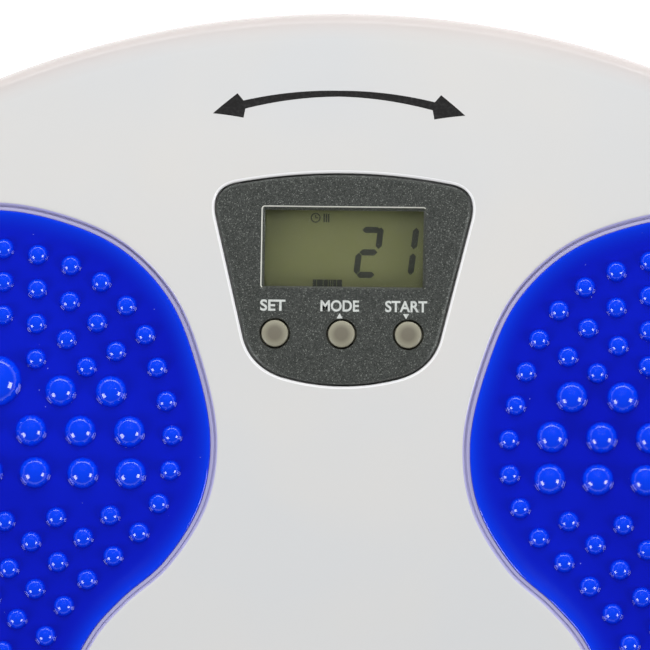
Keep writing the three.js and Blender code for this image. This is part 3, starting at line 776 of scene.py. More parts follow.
@dataclass(frozen=True)
class CircuitLaminate:
    """Glass-epoxy laminate under green solder mask, with copper tracks showing through as lighter lines."""

    name: str = "solder-masked laminate"
    mask: int = 0x17592F
    track: int = 0x2E8048
    pitch_mm: float = 1.6
    copper_mm: float = 0.03

    def make(self) -> Material:
        """Builds the material.

        Returns:
            The material.
        """
        material, add, place = start_material(self.name)
        brick = {"Vector": place, "Scale": 1 / (self.pitch_mm * MM), "Mortar Size": 0.12, "Brick Width": 2.3,
                 "Row Height": 0.7, "Color1": (0, 0, 0, 1), "Color2": (0, 0, 0, 1), "Mortar": (1, 1, 1, 1)}
        lines = add("ShaderNodeTexBrick", brick, out="Color")
        tint = add(MIX, {0: lines, 6: linear(self.mask), 7: linear(self.track)}, **OF_COLOURS)
        raised = add(BUMP, {"Height": lines, "Distance": self.copper_mm * MM})
        add(OUTPUT, {"Surface": add(PRINCIPLED, {"Base Color": tint, "Roughness": 0.3, "Normal": raised})})
        return material


@dataclass(frozen=True)
class BandedSilicone:
    """Elastomer connector: thin dark conducting layers between pink insulating ones, along its length."""

    name: str = "banded silicone"
    pink: int = 0xC9A9A4
    dark: int = 0x2C2A2B
    pitch_mm: float = 0.4

    def make(self) -> Material:
        """Builds the material.

        Returns:
            The material.
        """
        material, add, place = start_material(self.name)
        wave = {"Vector": place, "Scale": 1 / (self.pitch_mm * MM * 2 * math.pi) * 2}
        bands = add(WAVES, wave, out="Fac", bands_direction="X")
        tint = add(MIX, {0: bands, 6: linear(self.pink), 7: linear(self.dark)}, **OF_COLOURS)
        add(OUTPUT, {"Surface": add(PRINCIPLED, {"Base Color": tint, "Roughness": 0.6})})
        return material


# ------------------------------------------------------------------ the object's own outlines


@dataclass(frozen=True)
class PadOutline:
    """The right pad's foot-shaped edge, counter-clockwise from the toes: inner side, heel, outer side."""

    points: tuple[tuple[float, float], ...] = (
        (57, 116.8), (44.2, 114.5), (35.4, 110.2), (28.1, 102.6), (23.8, 92.8), (21, 80),
        (22.4, 69.6), (28.2, 59.9), (34.8, 54), (39.8, 48.2), (44.2, 38), (46, 20),
        (45.2, -5), (42, -30), (38.6, -55), (38, -78), (41.8, -97), (51, -110.5),
        (64, -115.5), (77.5, -109.5), (88, -96), (95.5, -76), (99.5, -50), (102.5, -20),
        (104.5, 10), (104.5, 38), (102, 64), (95.5, 88), (85, 104), (71.5, 113.8),
    )
    places: int = 640

    def loop(self, side: int = 1) -> Array:
        """The edge of the right pad, or of the left one for side -1, still counter-clockwise."""
        loop = evenly(closed_spline(self.points, 120), self.places)
        return loop if side > 0 else (loop * (-1, 1))[::-1]


@dataclass(frozen=True)
class PanelOutline:
    """The counter panel's edge: crowned top and foot, straight slanting sides and round corners."""

    centre_y: float = 106.0
    top_end: tuple[float, float] = (17.3, 15.47)
    top_crown: float = 18.73
    top_corner: tuple[float, float] = (21.5, 14.65)
    side_top: tuple[float, float] = (20.5, 10)
    side_foot: tuple[float, float] = (15.75, -9.6)
    foot_corner: tuple[float, float] = (14.5, -14.1)
    foot_end: tuple[float, float] = (9.6, -15.7)
    foot_crown: float = -18.4
    places: int = 420

    def loop(self) -> Array:
        """The edge in place on the disc, counter-clockwise from the right end of the crowned top.

        Returns:
            Its places, one row each.
        """
        left = np.array((-1, 1))
        top, corner, side = np.array(self.top_end), np.array(self.top_corner), np.array(self.side_top)
        foot, low_corner, end = np.array(self.side_foot), np.array(self.foot_corner), np.array(self.foot_end)
        edge = np.vstack([
            arch(top, (0, self.top_crown), top * left, 240),
            arch(top * left, corner * left, side * left, 120),
            arch(side * left, (side + foot) / 2 * left, foot * left, 120),
            arch(foot * left, low_corner * left, end * left, 120),
            arch(end * left, (0, self.foot_crown), end, 240),
            arch(end, low_corner, foot, 120),
            arch(foot, (side + foot) / 2, side, 120),
            arch(side, corner, top, 120),
        ])
        return evenly(edge, self.places) + (0, self.centre_y)


# ------------------------------------------------------------------ turntable


@dataclass
class Cover:
    """The white moulded cover: flat top with a rounded rim, two pad pockets and the counter's recess."""

    pad: PadOutline
    panel: PanelOutline
    radius: float = 150.0
    top: float = 40.0
    ceiling: float = 37.0
    skirt: float = 18.0
    wall: float = 3.0
    rim_fillet: float = 4.5
    pocket_depth: float = 3.5
    pocket_margin: float = 0.9
    pocket_lip: float = 0.55
    pocket_step: float = 0.8
    pad_clearance: float = 0.03
    groove: float = 0.28  # width and depth of the groove at the lip's foot
    recess_margin: float = 0.25
    recess_lip: float = 0.45
    recess_floor: float = 38.1
    ledge: float = 1.2
    guard: float = 0.45  # flat band beside each fillet, so that the top face shades flat
    rim_sides: int = 360
    screw_circle: float = 134.0
    boss_radius: float = 4.0
    pivot_boss: float = 12.0
    boss_foot: float = 26.3

    def _rim(self, shape: Shape) -> tuple[Array, Array]:
        """Adds the rim, skirt and its inside; returns the loops where the top face and the ceiling start.

        Args:
            shape: what the faces are added to.

        Returns:
            The two loops.
        """
        fillet, radius, inner = self.rim_fillet, self.radius, self.radius - self.wall
        profile = np.vstack([
            [(radius - fillet - self.guard, self.top)],
            bend((radius - fillet, self.top - fillet), fillet, 90, 0, 12),
            bend((radius - 0.6, self.skirt + 0.6), 0.6, 0, -90, 4),
            bend((inner + 0.6, self.skirt + 0.6), 0.6, -90, -180, 4),
            bend((inner - 3, self.ceiling - 3), 3, 0, 90, 6),
            [(inner - 3 - self.guard, self.ceiling)],
        ])
        shape.turned(profile, self.rim_sides)
        return circle(profile[0, 0], self.rim_sides), circle(profile[-1, 0], self.rim_sides)

    def _pocket(self, shape: Shape, loop: Array) -> tuple[Array, Array]:
        """Adds a pad's pocket; returns its hole in the top face and its tray's hole in the ceiling.

        Args:
            shape: what the faces are added to.
            loop: the pad's edge.

        Returns:
            The two holes.
        """
        lip, margin, floor = self.pocket_lip, self.pocket_margin, self.top - self.pocket_depth
        step = self.top - self.pocket_step
        inside = np.vstack([
            [(margin + lip + self.guard, self.top)],
            bend((margin + lip, self.top - lip), lip, 90, 180, 7),
            [(margin, step - self.groove), (margin - self.groove, step - self.groove),
             (margin - self.groove - 0.08, step), (self.pad_clearance, step)],
            bend((self.pad_clearance - 0.4, floor + 0.4), 0.4, 0, -90, 4),
        ])
        shape.carried(loop, inside)
        normal = outward(loop)
        shape.flat([loop + inside[-1, 0] * normal], floor)
        tray = self.wall
        outside = np.vstack([
            [(tray + 0.5 + self.guard, self.ceiling)],
            bend((tray + 0.5, self.ceiling - 0.5), 0.5, 90, 180, 4),
            bend((tray - 0.5, floor - self.wall + 0.5), 0.5, 0, -90, 4),
        ])
        shape.carried(loop, outside)
        shape.flat([loop + outside[-1, 0] * normal], floor - self.wall)
        return loop + inside[0, 0] * normal, loop + outside[0, 0] * normal

    def _recess(self, shape: Shape, loop: Array) -> tuple[Array, Array]:
        """Adds the counter's recess and opening; returns their holes in the top face and the ceiling.

        Args:
            shape: what the faces are added to.
            loop: the panel's edge.

        Returns:
            The two holes.
        """
        lip, margin = self.recess_lip, self.recess_margin
        profile = np.vstack([
            [(margin + lip + self.guard, self.top)],
            bend((margin + lip, self.top - lip), lip, 90, 180, 6),
            [(margin, self.recess_floor), (-self.ledge, self.recess_floor), (-self.ledge, self.ceiling)],
        ])
        shape.carried(loop, profile)
        normal = outward(loop)
        return loop + profile[0, 0] * normal, loop + profile[-1, 0] * normal

    def _bosses(self, shape: Shape) -> list[Array]:
        """Adds the screw bosses and the pivot boss under the top; returns their holes in the ceiling.

        Args:
            shape: what the faces are added to.

        Returns:
            A hole for each boss.
        """
        holes = []
        spots = [(place, self.boss_radius) for place in around(6, self.screw_circle, 30)]
        for centre, radius in [*spots, ((0.0, 0.0), self.pivot_boss)]:
            sides = 48
            shape.turned(np.array([(radius + 0.3, self.ceiling), (radius, self.ceiling - 0.3),
                                   (radius, self.boss_foot), (0, self.boss_foot)]), sides, centre)
            holes.append(circle(radius + 0.3, sides, centre))
        return holes

    def _paint_lip_light(self, piece: Piece, pad_bounce_painted: Material, polished: Material) -> None:
        """Paints the pockets' lips with blue bounce light and shade from the vinyl, and the recess's lip with
        a highlight.

        Args:
            piece: the cover.
            pad_bounce_painted: the finish of the pockets' lips, painted blue bounce light and shade.
            polished: the finish of the recess's lip, a painted highlight.
        """
        middles, _ = faces_of(piece)
        depth = self.top - middles[:, 2]
        inside = np.hypot(middles[:, 0], middles[:, 1]) < self.radius - self.rim_fillet - self.guard
        reach = np.where(middles[:, 1] > self.panel.centre_y - 6, 24, 19)
        recess = (np.abs(middles[:, 0]) < reach) & (middles[:, 1] > self.panel.centre_y - 22)
        # painted blue bounce light and shade on the pockets' lips, walls and grooves
        paint(piece, pad_bounce_painted, inside & ~recess & (depth > 0.08) & (depth < self.pocket_depth - 0.05))
        # painted highlight: the recess's lip is painted pure white
        paint(piece, polished, inside & recess & (depth > 0.01) & (depth < self.recess_lip + 0.05))

    def make(self, finish: Material, pad_bounce_painted: Material, polished: Material) -> Piece:
        """Builds the cover as one closed skin.

        Args:
            finish: its finish.
            pad_bounce_painted: the finish of the pockets' lips, painted blue bounce light and shade.
            polished: the finish of the recess's lip, a painted highlight.

        Returns:
            The cover.
        """
        shape = Shape()
        top_edge, ceiling_edge = self._rim(shape)
        pockets = [self._pocket(shape, self.pad.loop(side)) for side in (1, -1)]
        recess = self._recess(shape, self.panel.loop())
        shape.flat([top_edge, recess[0], *(pocket[0] for pocket in pockets)], self.top)
        holes = [recess[1], *(pocket[1] for pocket in pockets), *self._bosses(shape)]
        shape.flat([ceiling_edge, *holes], self.ceiling)
        piece = shape.make("moulded_cover", finish)
        self._paint_lip_light(piece, pad_bounce_painted, polished)
        return settle(piece, "turntable", ["top_shell"])


class NubSize(Enum):
    """A nub's base radius and height, in mm."""

    SMALL = (1.66, 1.5)
    LARGE = (2.55, 2.1)
    DOME = (4.2, 2.95)


@dataclass
class MassagePad:
    """A soft vinyl foot pad: flat floor, an edge that sweeps up as a parabola to a rounded bead, and nubs.

    Small nubs follow the outline in rows, large ones stand in a staggered field under the ball of the foot
    and under the heel, each field headed by domes. A nub is a quarter ellipse turned about its own axis.
    """

    outline: PadOutline
    bottom: float = 36.8
    floor: float = 38.8
    crest: float = 39.55
    bead_inset: float = 0.35
    sweep_inset: float = 3.75
    small_rows: int = 5
    small_inset: float = 6.2  # from the pad's edge to the first row
    small_gap: float = 5.4  # from row to row
    small_pitch: float = 5.65  # from nub to nub along a row
    small_first: float = 1.7  # where along the row its first nub stands
    nearest_edge: float = 5.75  # least distance from a small nub's middle to the pad's edge
    clear: float = 5.3  # least distance from a small nub's middle to a larger nub's
    dome_clear: float = 6.9
    nub_sides: int = 16
    large_rows: tuple[tuple[float, float, float, int], ...] = (
        (87.5, 37.3, 8.2, 2), (87.5, 86.6, 8.2, 1), (81, 34.2, 8, 8), (74.2, 33.9, 7.75, 8),
        (-71, 55, 8, 4), (-87, 55, 8, 4),
    )
    dome_rows: tuple[tuple[float, float, float, int], ...] = ((89, 56.1, 11.2, 3), (-79, 51, 16, 3))

    def _field(self, rows: tuple[tuple[float, float, float, int], ...]) -> Array:
        """Places of the nubs in rows of (height up the disc, first nub, spacing, how many).

        Args:
            rows: the rows, from the toes down.

        Returns:
            The places, one row each.
        """
        return np.vstack([
            np.column_stack([x + pitch * np.arange(count), np.full(count, y)]) for y, x, pitch, count in rows
        ])

    def _nearest(self, places: Array, others: Array) -> tuple[Array, Array]:
        """For each place, the closest of the others and its distance."""
        distance = np.linalg.norm(places[:, None] - others[None], axis=2)
        return others[distance.argmin(axis=1)], distance.min(axis=1)

    def nubs(self) -> list[tuple[Array, NubSize]]:
        """Every nub's place on the right pad, by size.

        Returns:
            The places of each size.
        """
        large, domes = self._field(self.large_rows), self._field(self.dome_rows)
        edge = self.outline.loop()
        small = []
        for inset in self.small_inset + self.small_gap * np.arange(self.small_rows):
            path = edge - inset * outward(edge)
            path = path[self._nearest(path, edge)[1] > inset - 0.25]
            length = np.linalg.norm(np.roll(path, -1, axis=0) - path, axis=1).sum()
            places = evenly(path, round(length / self.small_pitch), self.small_first)
            closest, distance = self._nearest(places, edge)
            push = np.maximum(self.nearest_edge - distance, 0) / distance
            places = places + (places - closest) * push[:, None]
            clear = (self._nearest(places, large)[1] > self.clear) & (
                self._nearest(places, domes)[1] > self.dome_clear
            )
            small.append(places[clear])
        return [(np.vstack(small), NubSize.SMALL), (large, NubSize.LARGE), (domes, NubSize.DOME)]

    def _nub_profile(self, size: NubSize) -> Array:
        """A nub from its foot to its tip: a small fillet, then r = R cos t, z = H sin t.

        Args:
            size: which size of nub.

        Returns:
            (radius, z) at each step.
        """
        radius, height = size.value
        tilt = np.radians((14, 34, 55, 74, 90))
        dome = np.stack([radius * np.cos(tilt), self.floor + height * np.sin(tilt)], axis=1)
        return np.vstack([[(radius + 0.1, self.floor), (radius, self.floor + 0.14)], dome])

    def make(self, side: int, finish: Material) -> Piece:
        """Builds the right pad, or the left one for side -1.

        Args:
            side: 1 for the right pad, -1 for the left one.
            finish: its finish.

        Returns:
            The pad.
        """
        shape = Shape()
        loop = self.outline.loop(side)
        rise = np.linspace(0, 1, 9)
        sweep = np.stack([
            -(self.bead_inset + rise * (self.sweep_inset - self.bead_inset)),
            self.floor + (self.crest - self.floor) * (1 - rise) ** 2,
        ], axis=1)
        bead = bend((-self.bead_inset, self.crest - self.bead_inset), self.bead_inset, 0, 90, 8)
        profile = np.vstack([
            [(-0.5, self.bottom)], bend((-0.5, self.bottom + 0.5), 0.5, -70, 0, 4), bead, sweep[1:],
            [(-self.sweep_inset - 0.1, self.floor)],
        ])
        shape.carried(loop, profile)
        normal = outward(loop)
        shape.flat([loop + profile[0, 0] * normal], self.bottom)
        holes = []
        for places, size in self.nubs():
            nub = self._nub_profile(size)
            for x, y in (places * (side, 1)).tolist():
                shape.turned(nub, self.nub_sides, (x, y))
                holes.append(circle(nub[0, 0], self.nub_sides, (x, y)))
        shape.flat([loop + profile[-1, 0] * normal, *holes], self.floor)
        name = "right" if side > 0 else "left"
        piece = shape.make(f"massage_pad_{name}", finish)
        settle(piece, "turntable", [f"pad_{name}"])
        return piece


@dataclass
class TwistMark:
    """A plain printed sign for the twisting motion: a flat arc with an arrowhead at each end."""

    centre: tuple[float, float] = (-1.0, 134.6)
    half_width: float = 20.5
    sag: float = 3.4
    stroke: float = 1.5
    head_length: float = 5.0
    head_width: float = 4.6
    z: float = 40.004
    thickness: float = 0.003

    def make(self, finish: Material) -> Piece:
        """Builds the sign: a parabola of the given sag, as a strip that swells into each head.

        Args:
            finish: its finish.

        Returns:
            The sign.
        """
        t = np.linspace(-1, 1, 65)
        x = t * self.half_width
        spine = np.stack([x, -self.sag * t**2 + self.sag / 2], axis=1)
        slope = np.stack([np.full_like(x, 1.0), -2 * self.sag * t / self.half_width], axis=1)
        slope /= np.linalg.norm(slope, axis=1, keepdims=True)
        side = np.stack([-slope[:, 1], slope[:, 0]], axis=1)
        to_tip = self.half_width - np.abs(x)
        head = self.head_width * to_tip / self.head_length
        width = np.where(to_tip < self.head_length, head, self.stroke * (0.65 + 0.35 * np.abs(t)))
        low, high = spine - side * width[:, None] / 2, spine + side * width[:, None] / 2
        shape = Shape()
        foot = self.z - self.thickness
        rows = [
            np.column_stack([edge + np.array(self.centre), np.full(len(edge), level)])
            for edge, level in ((low, self.z), (high, self.z), (high, foot), (low, foot))
        ]
        shape.grid(np.stack(rows, axis=1), closed=True)
        return settle(shape.make("twist_mark", finish), "turntable")


@dataclass
class UnderPlate:
    """The plate that closes the cover from below, with the race's raised seat and a well for the counter."""

    low: float = 23.0
    high: float = 26.0
    seat: float = 21.8
    seat_in: float = 48.0
    seat_out: float = 72.0
    radius: float = 145.5
    bore: float = 4.3
    well: tuple[float, float, float, float] = (-19.0, 19.0, 81.0, 125.0)
    well_floor: float = 24.5

    def make(self, finish: Material) -> Piece:
        """Builds the plate as one closed skin.

        Args:
            finish: its finish.

        Returns:
            The plate.
        """
        sides = 240
        shape = Shape()
        edge = 0.5
        profile = np.vstack([
            [(self.bore, self.high), (self.bore, self.low), (self.seat_in - 0.6, self.low)],
            bend((self.seat_in + 0.4, self.seat + 0.4), 0.4, 180, 270, 4),
            bend((self.seat_out - 0.4, self.seat + 0.4), 0.4, 270, 360, 4),
            [(self.seat_out + 0.6, self.low)],
            bend((self.radius - edge, self.low + edge), edge, -90, 0, 4),
            bend((self.radius - edge, self.high - edge), edge, 0, 90, 4),
            [(self.radius - 1.2, self.high)],
        ])
        shape.turned(profile, sides)
        x0, x1, y0, y1 = self.well
        well = rounded_box(x1 - x0, y1 - y0, 2, ((x0 + x1) / 2, (y0 + y1) / 2))
        shape.carried(well, np.array([(0, self.high), (0, self.well_floor)]))
        shape.flat([well], self.well_floor)
        shape.flat([circle(self.radius - 1.2, sides), circle(self.bore, sides), well], self.high)
        return settle(shape.make("closing_plate", finish), "turntable", ["under_plate"])


@dataclass
class PanScrew:
    """A screw with a domed head and a cross recess, standing head down."""

    radius: float
    head: float
    head_height: float
    low: float
    high: float
    pitch: float = 0.8

    def make(self, name: str, centre: tuple[float, float], finish: Material) -> Piece:
        """Builds the screw: the head's face is a shallow dome pressed in where |x| or |y| is small.

        Args:
            name: the piece's name.
            centre: its middle on the disc, in mm.
            finish: its finish.

        Returns:
            The screw.
        """
        sides = 48
        share = np.linspace(0, 1, 15)[:, None]
        angle = np.linspace(0, 2 * np.pi, sides, endpoint=False)
        x, y = share * np.cos(angle), share * np.sin(angle)
        arm = (np.minimum(abs(x), abs(y)) < 0.13) & (np.maximum(abs(x), abs(y)) < 0.58)
        depth = np.where(arm, 0.55 * self.head_height, 0) + 0.45 * self.head_height * share**3
        face = np.stack([x * self.head + centre[0], y * self.head + centre[1], self.low + depth], axis=-1)
        shape = Shape()
        shape.grid(face)
        turns = np.arange(self.low + self.head_height, self.high - 2 * self.radius, self.pitch / 2)
        radii = np.where(np.arange(len(turns)) % 2, self.radius, 0.8 * self.radius)
        thread = np.stack([radii, turns], axis=1)
        shank = np.vstack([
            [(self.head, self.low + 0.45 * self.head_height), (self.head, self.low + self.head_height)],
            thread, [(0.8 * self.radius, self.high - 2 * self.radius), (0, self.high)],
        ])
        shape.turned(shank, sides, centre)
        return shape.make(name, finish)


# ------------------------------------------------------------------ base and bearing


@dataclass
class Base:
    """The tray that stands on the floor: wall, race seat, hub, ribs, cap and rubber feet."""

    radius: float = 125.0
    low: float = 2.5
    wall: float = 3.0
    wall_top: float = 21.0
    seat: float = 11.0
    seat_in: float = 48.0
    seat_out: float = 72.0
    hub: float = 16.0
    web: float = 15.5
    well: float = 11.0
    bush_hole: float = 6.3
    cap_radius: float = 14.6
    cap_thickness: float = 1.4
    foot_circle: float = 110.0
    foot_radius: float = 10.0
    foot_peg: float = 2.5
    grip_rings: tuple[float, ...] = (2.4, 4.9, 7.4)
    magnet_circle: float = 97.0
    magnet_angle: float = 210.0
    magnet_radius: float = 5.0

    def _tray(self, finish: Material) -> Piece:
        """Builds the tray as a turned skin, with ribs inside it and raised spokes under it.

        Args:
            finish: its finish.

        Returns:
            The tray.
        """
        floor, inner, cap = self.low + self.wall, self.radius - self.wall, self.cap_radius + GAP
        cap_seat = self.low + self.cap_thickness + GAP
        profile = np.vstack([
            [(self.bush_hole, self.web), (self.well, self.web), (self.well, cap_seat), (cap, cap_seat)],
            bend((cap + 0.5, self.low + 0.5), 0.5, 180, 270, 4),
            [(29, self.low)], bend((30, self.low + 0.3), 0.5, 180, 0, 5), [(31, self.low)],
            [(95.5, self.low)], bend((96.5, self.low + 0.3), 0.5, 180, 0, 5), [(97.5, self.low)],
            bend((self.radius - 3, self.low + 3), 3, -90, 0, 8),
            bend((self.radius - 0.6, self.wall_top - 0.6), 0.6, 0, 90, 4),
            bend((inner + 0.6, self.wall_top - 0.6), 0.6, 90, 180, 4),
            bend((inner - 1, floor + 1), 1, 0, -90, 4),
            [(self.seat_out, floor), (self.seat_out, self.seat), (self.seat_in, self.seat),
             (self.seat_in, floor), (self.hub, floor), (self.hub, self.wall_top),
             (self.bush_hole, self.wall_top), (self.bush_hole, self.web)],
        ])
        shape = Shape()
        shape.turned(profile, 240)
        for angle in range(0, 360, 30):
            self._bar(shape, angle, (32.5, 94), self.low - 0.6, self.low + 0.4, 3.0)
        for angle in range(30, 390, 60):
            self._bar(shape, angle, (self.hub - 1, inner + 1), floor - 0.5, floor + 5, 2.4)
        spot = around(1, self.magnet_circle, self.magnet_angle)[0]
        outer, bore = self.magnet_radius + 2.2, self.magnet_radius + GAP
        pocket = self.wall_top - 5.6
        shape.turned(np.array([(0, floor - 0.5), (outer, floor - 0.5), (outer, self.wall_top),
                               (bore, self.wall_top), (bore, pocket), (0, pocket)]), 48, spot)
        return settle(shape.make("base_tray", finish), "base", ["base_plate"])

    def _bar(self, shape: Shape, angle: float, reach: tuple[float, float], low: float, high: float,
             width: float) -> None:
        """Adds a bar with round ends that runs outwards from the middle at an angle in degrees.

        Args:
            shape: what the faces are added to.
            angle: which way it runs, in degrees.
            reach: how far out it starts and ends, in mm.
            low: the height of its underside.
            high: the height of its top.
            width: its width in mm.
        """
        length = reach[1] - reach[0]
        outline = rounded_box(length, width, width / 2 - 0.01, ((reach[0] + reach[1]) / 2, 0), 8)
        turn = np.radians(angle)
        spin = np.array([[np.cos(turn), np.sin(turn)], [-np.sin(turn), np.cos(turn)]])
        outline = outline @ spin
        shape.carried(outline, np.array([(-0.4, low), (0, low + 0.4), (0, high)]))
        shape.flat([outline - 0.4 * outward(outline)], low)
        shape.flat([outline], high)

    def _cap(self, finish: Material) -> Piece:
        """Builds the snap-in cap over the nut: a shallow dish with a raised rim.

        Args:
            finish: its finish.

        Returns:
            The cap.
        """
        low, high, radius = self.low + 0.1, self.low + self.cap_thickness, self.cap_radius
        profile = np.vstack([
            [(0, high), (radius, high)], bend((radius - 0.5, low + 0.5), 0.5, 0, -90, 4),
            [(radius - 2, low), (radius - 2.6, low + 0.5), (0, low + 0.5)],
        ])
        shape = Shape()
        shape.turned(profile, 96)
        return settle(shape.make("hub_cap", finish), "base", ["base_cap"])

    def _foot(self, index: int, centre: tuple[float, float], finish: Material) -> Piece:
        """Builds a foot: a disc with three grip rings round its sole, on a peg that plugs into the tray.

        Args:
            index: the foot's number.
            centre: its middle on the disc, in mm.
            finish: its finish.

        Returns:
            The foot.
        """
        rings = [
            np.vstack([[(radius - 0.9, 0)], bend((radius, 0.05), 0.55, 180, 0, 5), [(radius + 0.9, 0)]])
            for radius in self.grip_rings
        ]
        high = self.low - GAP
        profile = np.vstack([
            [(0, 0)], *rings, bend((self.foot_radius - 0.9, 0.9), 0.9, -90, 0, 6),
            bend((self.foot_radius - 0.3, high - 0.3), 0.3, 0, 90, 3),
            [(self.foot_peg, high), (self.foot_peg, self.low + self.wall), (0, self.low + self.wall)],
        ])
        shape = Shape()
        shape.turned(profile, 72, centre)
        piece = shape.make(f"foot_{index}", finish)
        return settle(piece, "base", [f"rubber_foot_{index}"])

    def make(self, plastic: Material, rubber: Material) -> None:
        """Builds the tray, its cap and its feet.

        Args:
            plastic: the finish of the tray and the cap.
            rubber: the finish of the feet.
        """
        self._tray(plastic)
        self._cap(plastic)
        for index, centre in enumerate(around(6, self.foot_circle), start=1):
            self._foot(index, centre, rubber)


@dataclass
class BallRace:
    """Two grooved rings with twelve balls between them, kept apart by a cage."""

    radius: float = 60.0
    half_width: float = 10.0
    thickness: float = 2.0
    lower: float = 11.3
    upper: float = 19.5
    groove_radius: float = 4.6
    groove_depth: float = 1.3
    ball: float = 4.0
    ball_z: float = 16.4
    count: int = 12
    cage_half_width: float = 6.0
    cage_thickness: float = 3.0
    cage_hole: float = 4.4

    def _ring(self, name: str, back: float, opens: int, body: str, node: str, finish: Material) -> None:
        """Builds a race: a flat ring with a round groove in the face that opens up (1) or down (-1).

        Args:
            name: the piece's name.
            back: the height of its plain face, in mm.
            opens: 1 if the groove opens up, -1 if down.
            body: the body that carries it.
            node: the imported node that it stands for.
            finish: its finish.
        """
        face = back + opens * self.thickness
        half = math.sqrt(self.groove_radius**2 - (self.groove_radius - self.groove_depth) ** 2)
        swing = math.degrees(math.asin(half / self.groove_radius))
        middle = (self.radius, face + opens * (self.groove_radius - self.groove_depth))
        turn = -90 * opens
        groove = bend(middle, self.groove_radius, turn - opens * swing, turn + opens * swing, 9)
        inner, outer = self.radius - self.half_width, self.radius + self.half_width
        profile = np.vstack([
            [(inner, back), (inner, face)], groove, [(outer, face), (outer, back), (inner, back)],
        ])
        shape = Shape()
        shape.turned(profile, 192)
        settle(shape.make(name, finish), body, [node])

    def _cage(self, finish: Material) -> None:
        """Builds the cage: a flat ring with a round window for each ball.

        Args:
            finish: its finish.
        """
        low, high = self.ball_z - self.cage_thickness / 2, self.ball_z + self.cage_thickness / 2
        edges = [(self.radius + side * self.cage_half_width, 192, (0.0, 0.0)) for side in (1, -1)]
        edges += [(self.cage_hole, 32, place) for place in around(self.count, self.radius)]
        shape = Shape()
        for radius, sides, centre in edges:
            shape.turned(np.array([(radius, low), (radius, high)]), sides, centre)
        loops = [circle(radius, sides, centre) for radius, sides, centre in edges]
        shape.flat(loops, low)
        shape.flat(loops, high)
        settle(shape.make("cage_ring", finish), "ball_cage", ["ball_cage"])

    def make(self, steel: Material, mirror: Material, acetal: Material) -> None:
        """Builds the two rings, the cage and the balls.

        Args:
            steel: the finish of the rings.
            mirror: the finish of the balls.
            acetal: the finish of the cage.
        """
        self._ring("race_ring_lower", self.lower, 1, "base", "lower_race", steel)
        self._ring("race_ring_upper", self.upper + self.thickness, -1, "turntable", "upper_race", steel)
        self._cage(acetal)
        for index, centre in enumerate(around(self.count, self.radius), start=1):
            shape = Shape()
            shape.turned(bend((0, self.ball_z), self.ball, -90, 90, 17), 32, centre)
            piece = shape.make(f"steel_ball_{index}", mirror)
            settle(piece, "ball_cage", [f"race_ball_{index}"])


# ------------------------------------------------------------------ counter


